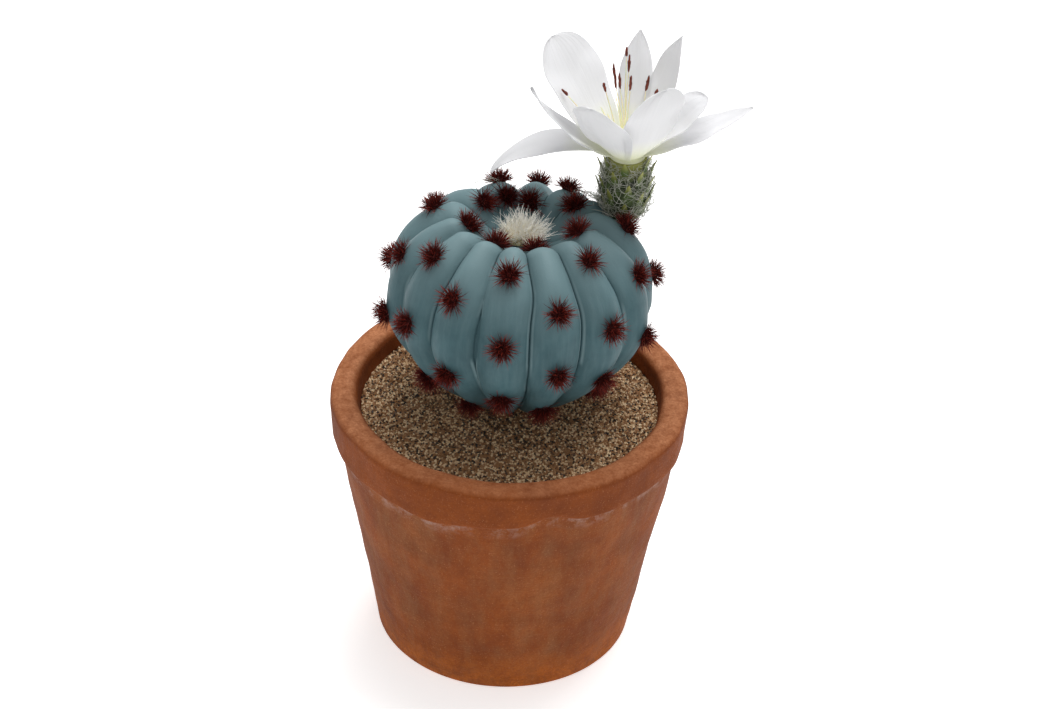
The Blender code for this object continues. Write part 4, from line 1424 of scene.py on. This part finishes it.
class CACTUS_OT_stamens(bpy.types.Operator):
    """Builds the filaments and anthers in the middle of the flower"""

    bl_idname = "cactus.stamens"
    bl_label = "Stamens"

    def execute(self, context):
        stamens = context.scene.cactus_stamens
        draw = random.Random(51)
        base = Vector((FLOWER_X, FLOWER_Y, TUBE_TOP + 1.5 * MM))
        lumps = bmesh.new()
        paths = [self.stamen(stamens, draw, base, lumps, form) for form in STAMENS]
        for number in range(stamens.short):
            out = around(1, 2.4 * number, 0)
            root = base + out * draw.uniform(0.3, 1.8) * MM
            rise = (out * draw.uniform(0.1, 0.45) + Vector((0, 0, 1))).normalized()
            reach = draw.uniform(11, 19) * MM
            ways = [step / 4 for step in range(5)]
            paths.append([root + rise * reach * way + out * reach * 0.1 * way**2 for way in ways])
        threads = filament_material(stamens)
        filaments = strands("filaments", paths, stamens.filament_radius, 0.55, 8, threads)
        finish_piece(filaments, threads, "flower_stamens")
        anthers = object_from_bmesh("anthers", lumps)
        finish_piece(anthers, anther_material(stamens), "flower_stamens")
        foot = bmesh.new()
        lift = Matrix.Translation(base + Vector((0, 0, 1.2 * MM)))
        bmesh.ops.create_cone(
            foot, cap_ends=True, segments=32, radius1=2.3 * MM, radius2=2.0 * MM, depth=2.6 * MM, matrix=lift
        )
        foot = object_from_bmesh("stamen_foot", foot)
        finish_piece(foot, threads, "flower_stamens", sharp_angle=30.0)
        return {"FINISHED"}

    def stamen(self, stamens, draw, base, lumps, form):
        """Adds a stamen's anther to the lumps and gives the path of its filament."""
        bearing, lean, length, anther = form
        lean = math.radians(lean)
        out = around(1, math.radians(bearing), 0)
        root = base + out * 1.4 * MM
        aim = out * math.sin(lean) + Vector((0, 0, math.cos(lean)))
        neck = (length + 1.7) * MM - anther * MM
        sway = Vector((draw.uniform(-1, 1), draw.uniform(-1, 1), 0)) * 0.8 * MM
        middle = root + aim * (neck + anther / 2 * MM)
        facing = aim.to_track_quat("Z", "Y").to_matrix().to_4x4()
        slim = Matrix.Diagonal((stamens.anther_radius, stamens.anther_radius, anther / 2 * MM, 1))
        place = Matrix.Translation(middle) @ facing @ slim
        made = bmesh.ops.create_icosphere(lumps, subdivisions=3, radius=1.0, matrix=place)
        for vert in made["verts"]:
            vert.co += (vert.co - middle) * 0.5 * noise.noise(vert.co * 1100)
        shares = [step / 8 for step in range(9)]
        return [root + aim * neck * share + sway * math.sin(math.pi * share) for share in shares]


def floor_material(stage):
    """Matt white studio board, lit a little from below so that shadows on it stay faint."""
    material, tree, shader = new_material("Studio board, matt white")
    surface = {
        "Base Color": stage.floor,
        "Roughness": 0.9,
        "Specular IOR Level": 0.1,
        "Emission Color": (1.0, 1.0, 1.0),
        "Emission Strength": stage.glow,
    }
    give(tree, shader, surface)
    return material


def camera_matrix():
    """The photograph's camera: where it stands, how it looks down and its slight roll."""
    distance = 831.4 * MM
    down = math.radians(34.2)
    roll = math.radians(2.22)
    aim = Vector((6.7, 0.0, 108.1)) * MM
    forward = Vector((0, math.cos(down), -math.sin(down)))
    right = Vector((1, 0, 0))
    up = right.cross(forward)
    turned_right = right * math.cos(roll) + up * math.sin(roll)
    turned_up = up * math.cos(roll) - right * math.sin(roll)
    turn = Matrix((turned_right, turned_up, -forward)).transposed().to_4x4()
    return Matrix.Translation(aim - forward * distance) @ turn


class CACTUS_OT_stage(bpy.types.Operator):
    """Sets the floor, the soft studio light and the camera at the photograph's angle"""

    bl_idname = "cactus.stage"
    bl_label = "Stage"

    def execute(self, context):
        stage = context.scene.cactus_stage
        scene = context.scene
        shape = bmesh.new()
        bmesh.ops.create_grid(shape, x_segments=8, y_segments=8, size=6.0)
        floor = object_from_bmesh("floor", shape)
        floor.data.materials.append(floor_material(stage))
        camera = link_object("camera", bpy.data.cameras.new("camera"))
        focal_pixels = 2500
        photo_width = 1063
        sensor_width = 36.0
        camera.data.sensor_width = sensor_width
        camera.data.lens = focal_pixels * sensor_width / photo_width
        camera.matrix_world = camera_matrix()
        scene.camera = camera
        lamp = bpy.data.lights.new("key", "AREA")
        lamp.shape = "SQUARE"
        lamp.size = 0.8
        lamp.energy = stage.key_power
        key = link_object("key", lamp)
        key.location = (0.14, 0.32, 1.1)
        key.rotation_euler = (Vector((0, 0, 0.1)) - key.location).to_track_quat("-Z", "Y").to_euler()
        world = bpy.data.worlds.new("white surroundings")
        world.use_nodes = True
        sky = {"Color": (1.0, 1.0, 1.0), "Strength": stage.sky}
        give(world.node_tree, world.node_tree.nodes["Background"], sky)
        scene.world = world
        scene.view_settings.view_transform = "Standard"
        return {"FINISHED"}


class CACTUS_PT_panel(bpy.types.Panel):
    bl_label = "Potted cactus"
    bl_idname = "CACTUS_PT_panel"
    bl_space_type = "VIEW_3D"
    bl_region_type = "UI"
    bl_category = "Cactus"

    def draw(self, context):
        for operator in OPERATORS:
            self.layout.operator(operator.bl_idname)
        for name, group in SETTINGS.items():
            box = self.layout.box()
            for label in group.__annotations__:
                box.prop(getattr(context.scene, name), label)


OPERATORS = (
    CACTUS_OT_stage,
    CACTUS_OT_pot,
    CACTUS_OT_sand,
    CACTUS_OT_skin,
    CACTUS_OT_tufts,
    CACTUS_OT_wool,
    CACTUS_OT_flower_tube,
    CACTUS_OT_fibres,
    CACTUS_OT_petals,
    CACTUS_OT_stamens,
)


def register():
    for name, group in SETTINGS.items():
        bpy.utils.register_class(group)
        setattr(bpy.types.Scene, name, bpy.props.PointerProperty(type=group))
    for operator in (*OPERATORS, CACTUS_PT_panel):
        bpy.utils.register_class(operator)


def unregister():
    for operator in (CACTUS_PT_panel, *reversed(OPERATORS)):
        bpy.utils.unregister_class(operator)
    for name, group in reversed(SETTINGS.items()):
        delattr(bpy.types.Scene, name)
        bpy.utils.unregister_class(group)


def main():
    register()
    bpy.ops.cactus.stage()
    bpy.ops.cactus.pot()
    bpy.ops.cactus.sand()
    bpy.ops.cactus.skin()
    bpy.ops.cactus.tufts()
    bpy.ops.cactus.wool()
    bpy.ops.cactus.flower_tube()
    bpy.ops.cactus.fibres()
    bpy.ops.cactus.petals()
    bpy.ops.cactus.stamens()


if __name__ == "__main__":
    main()
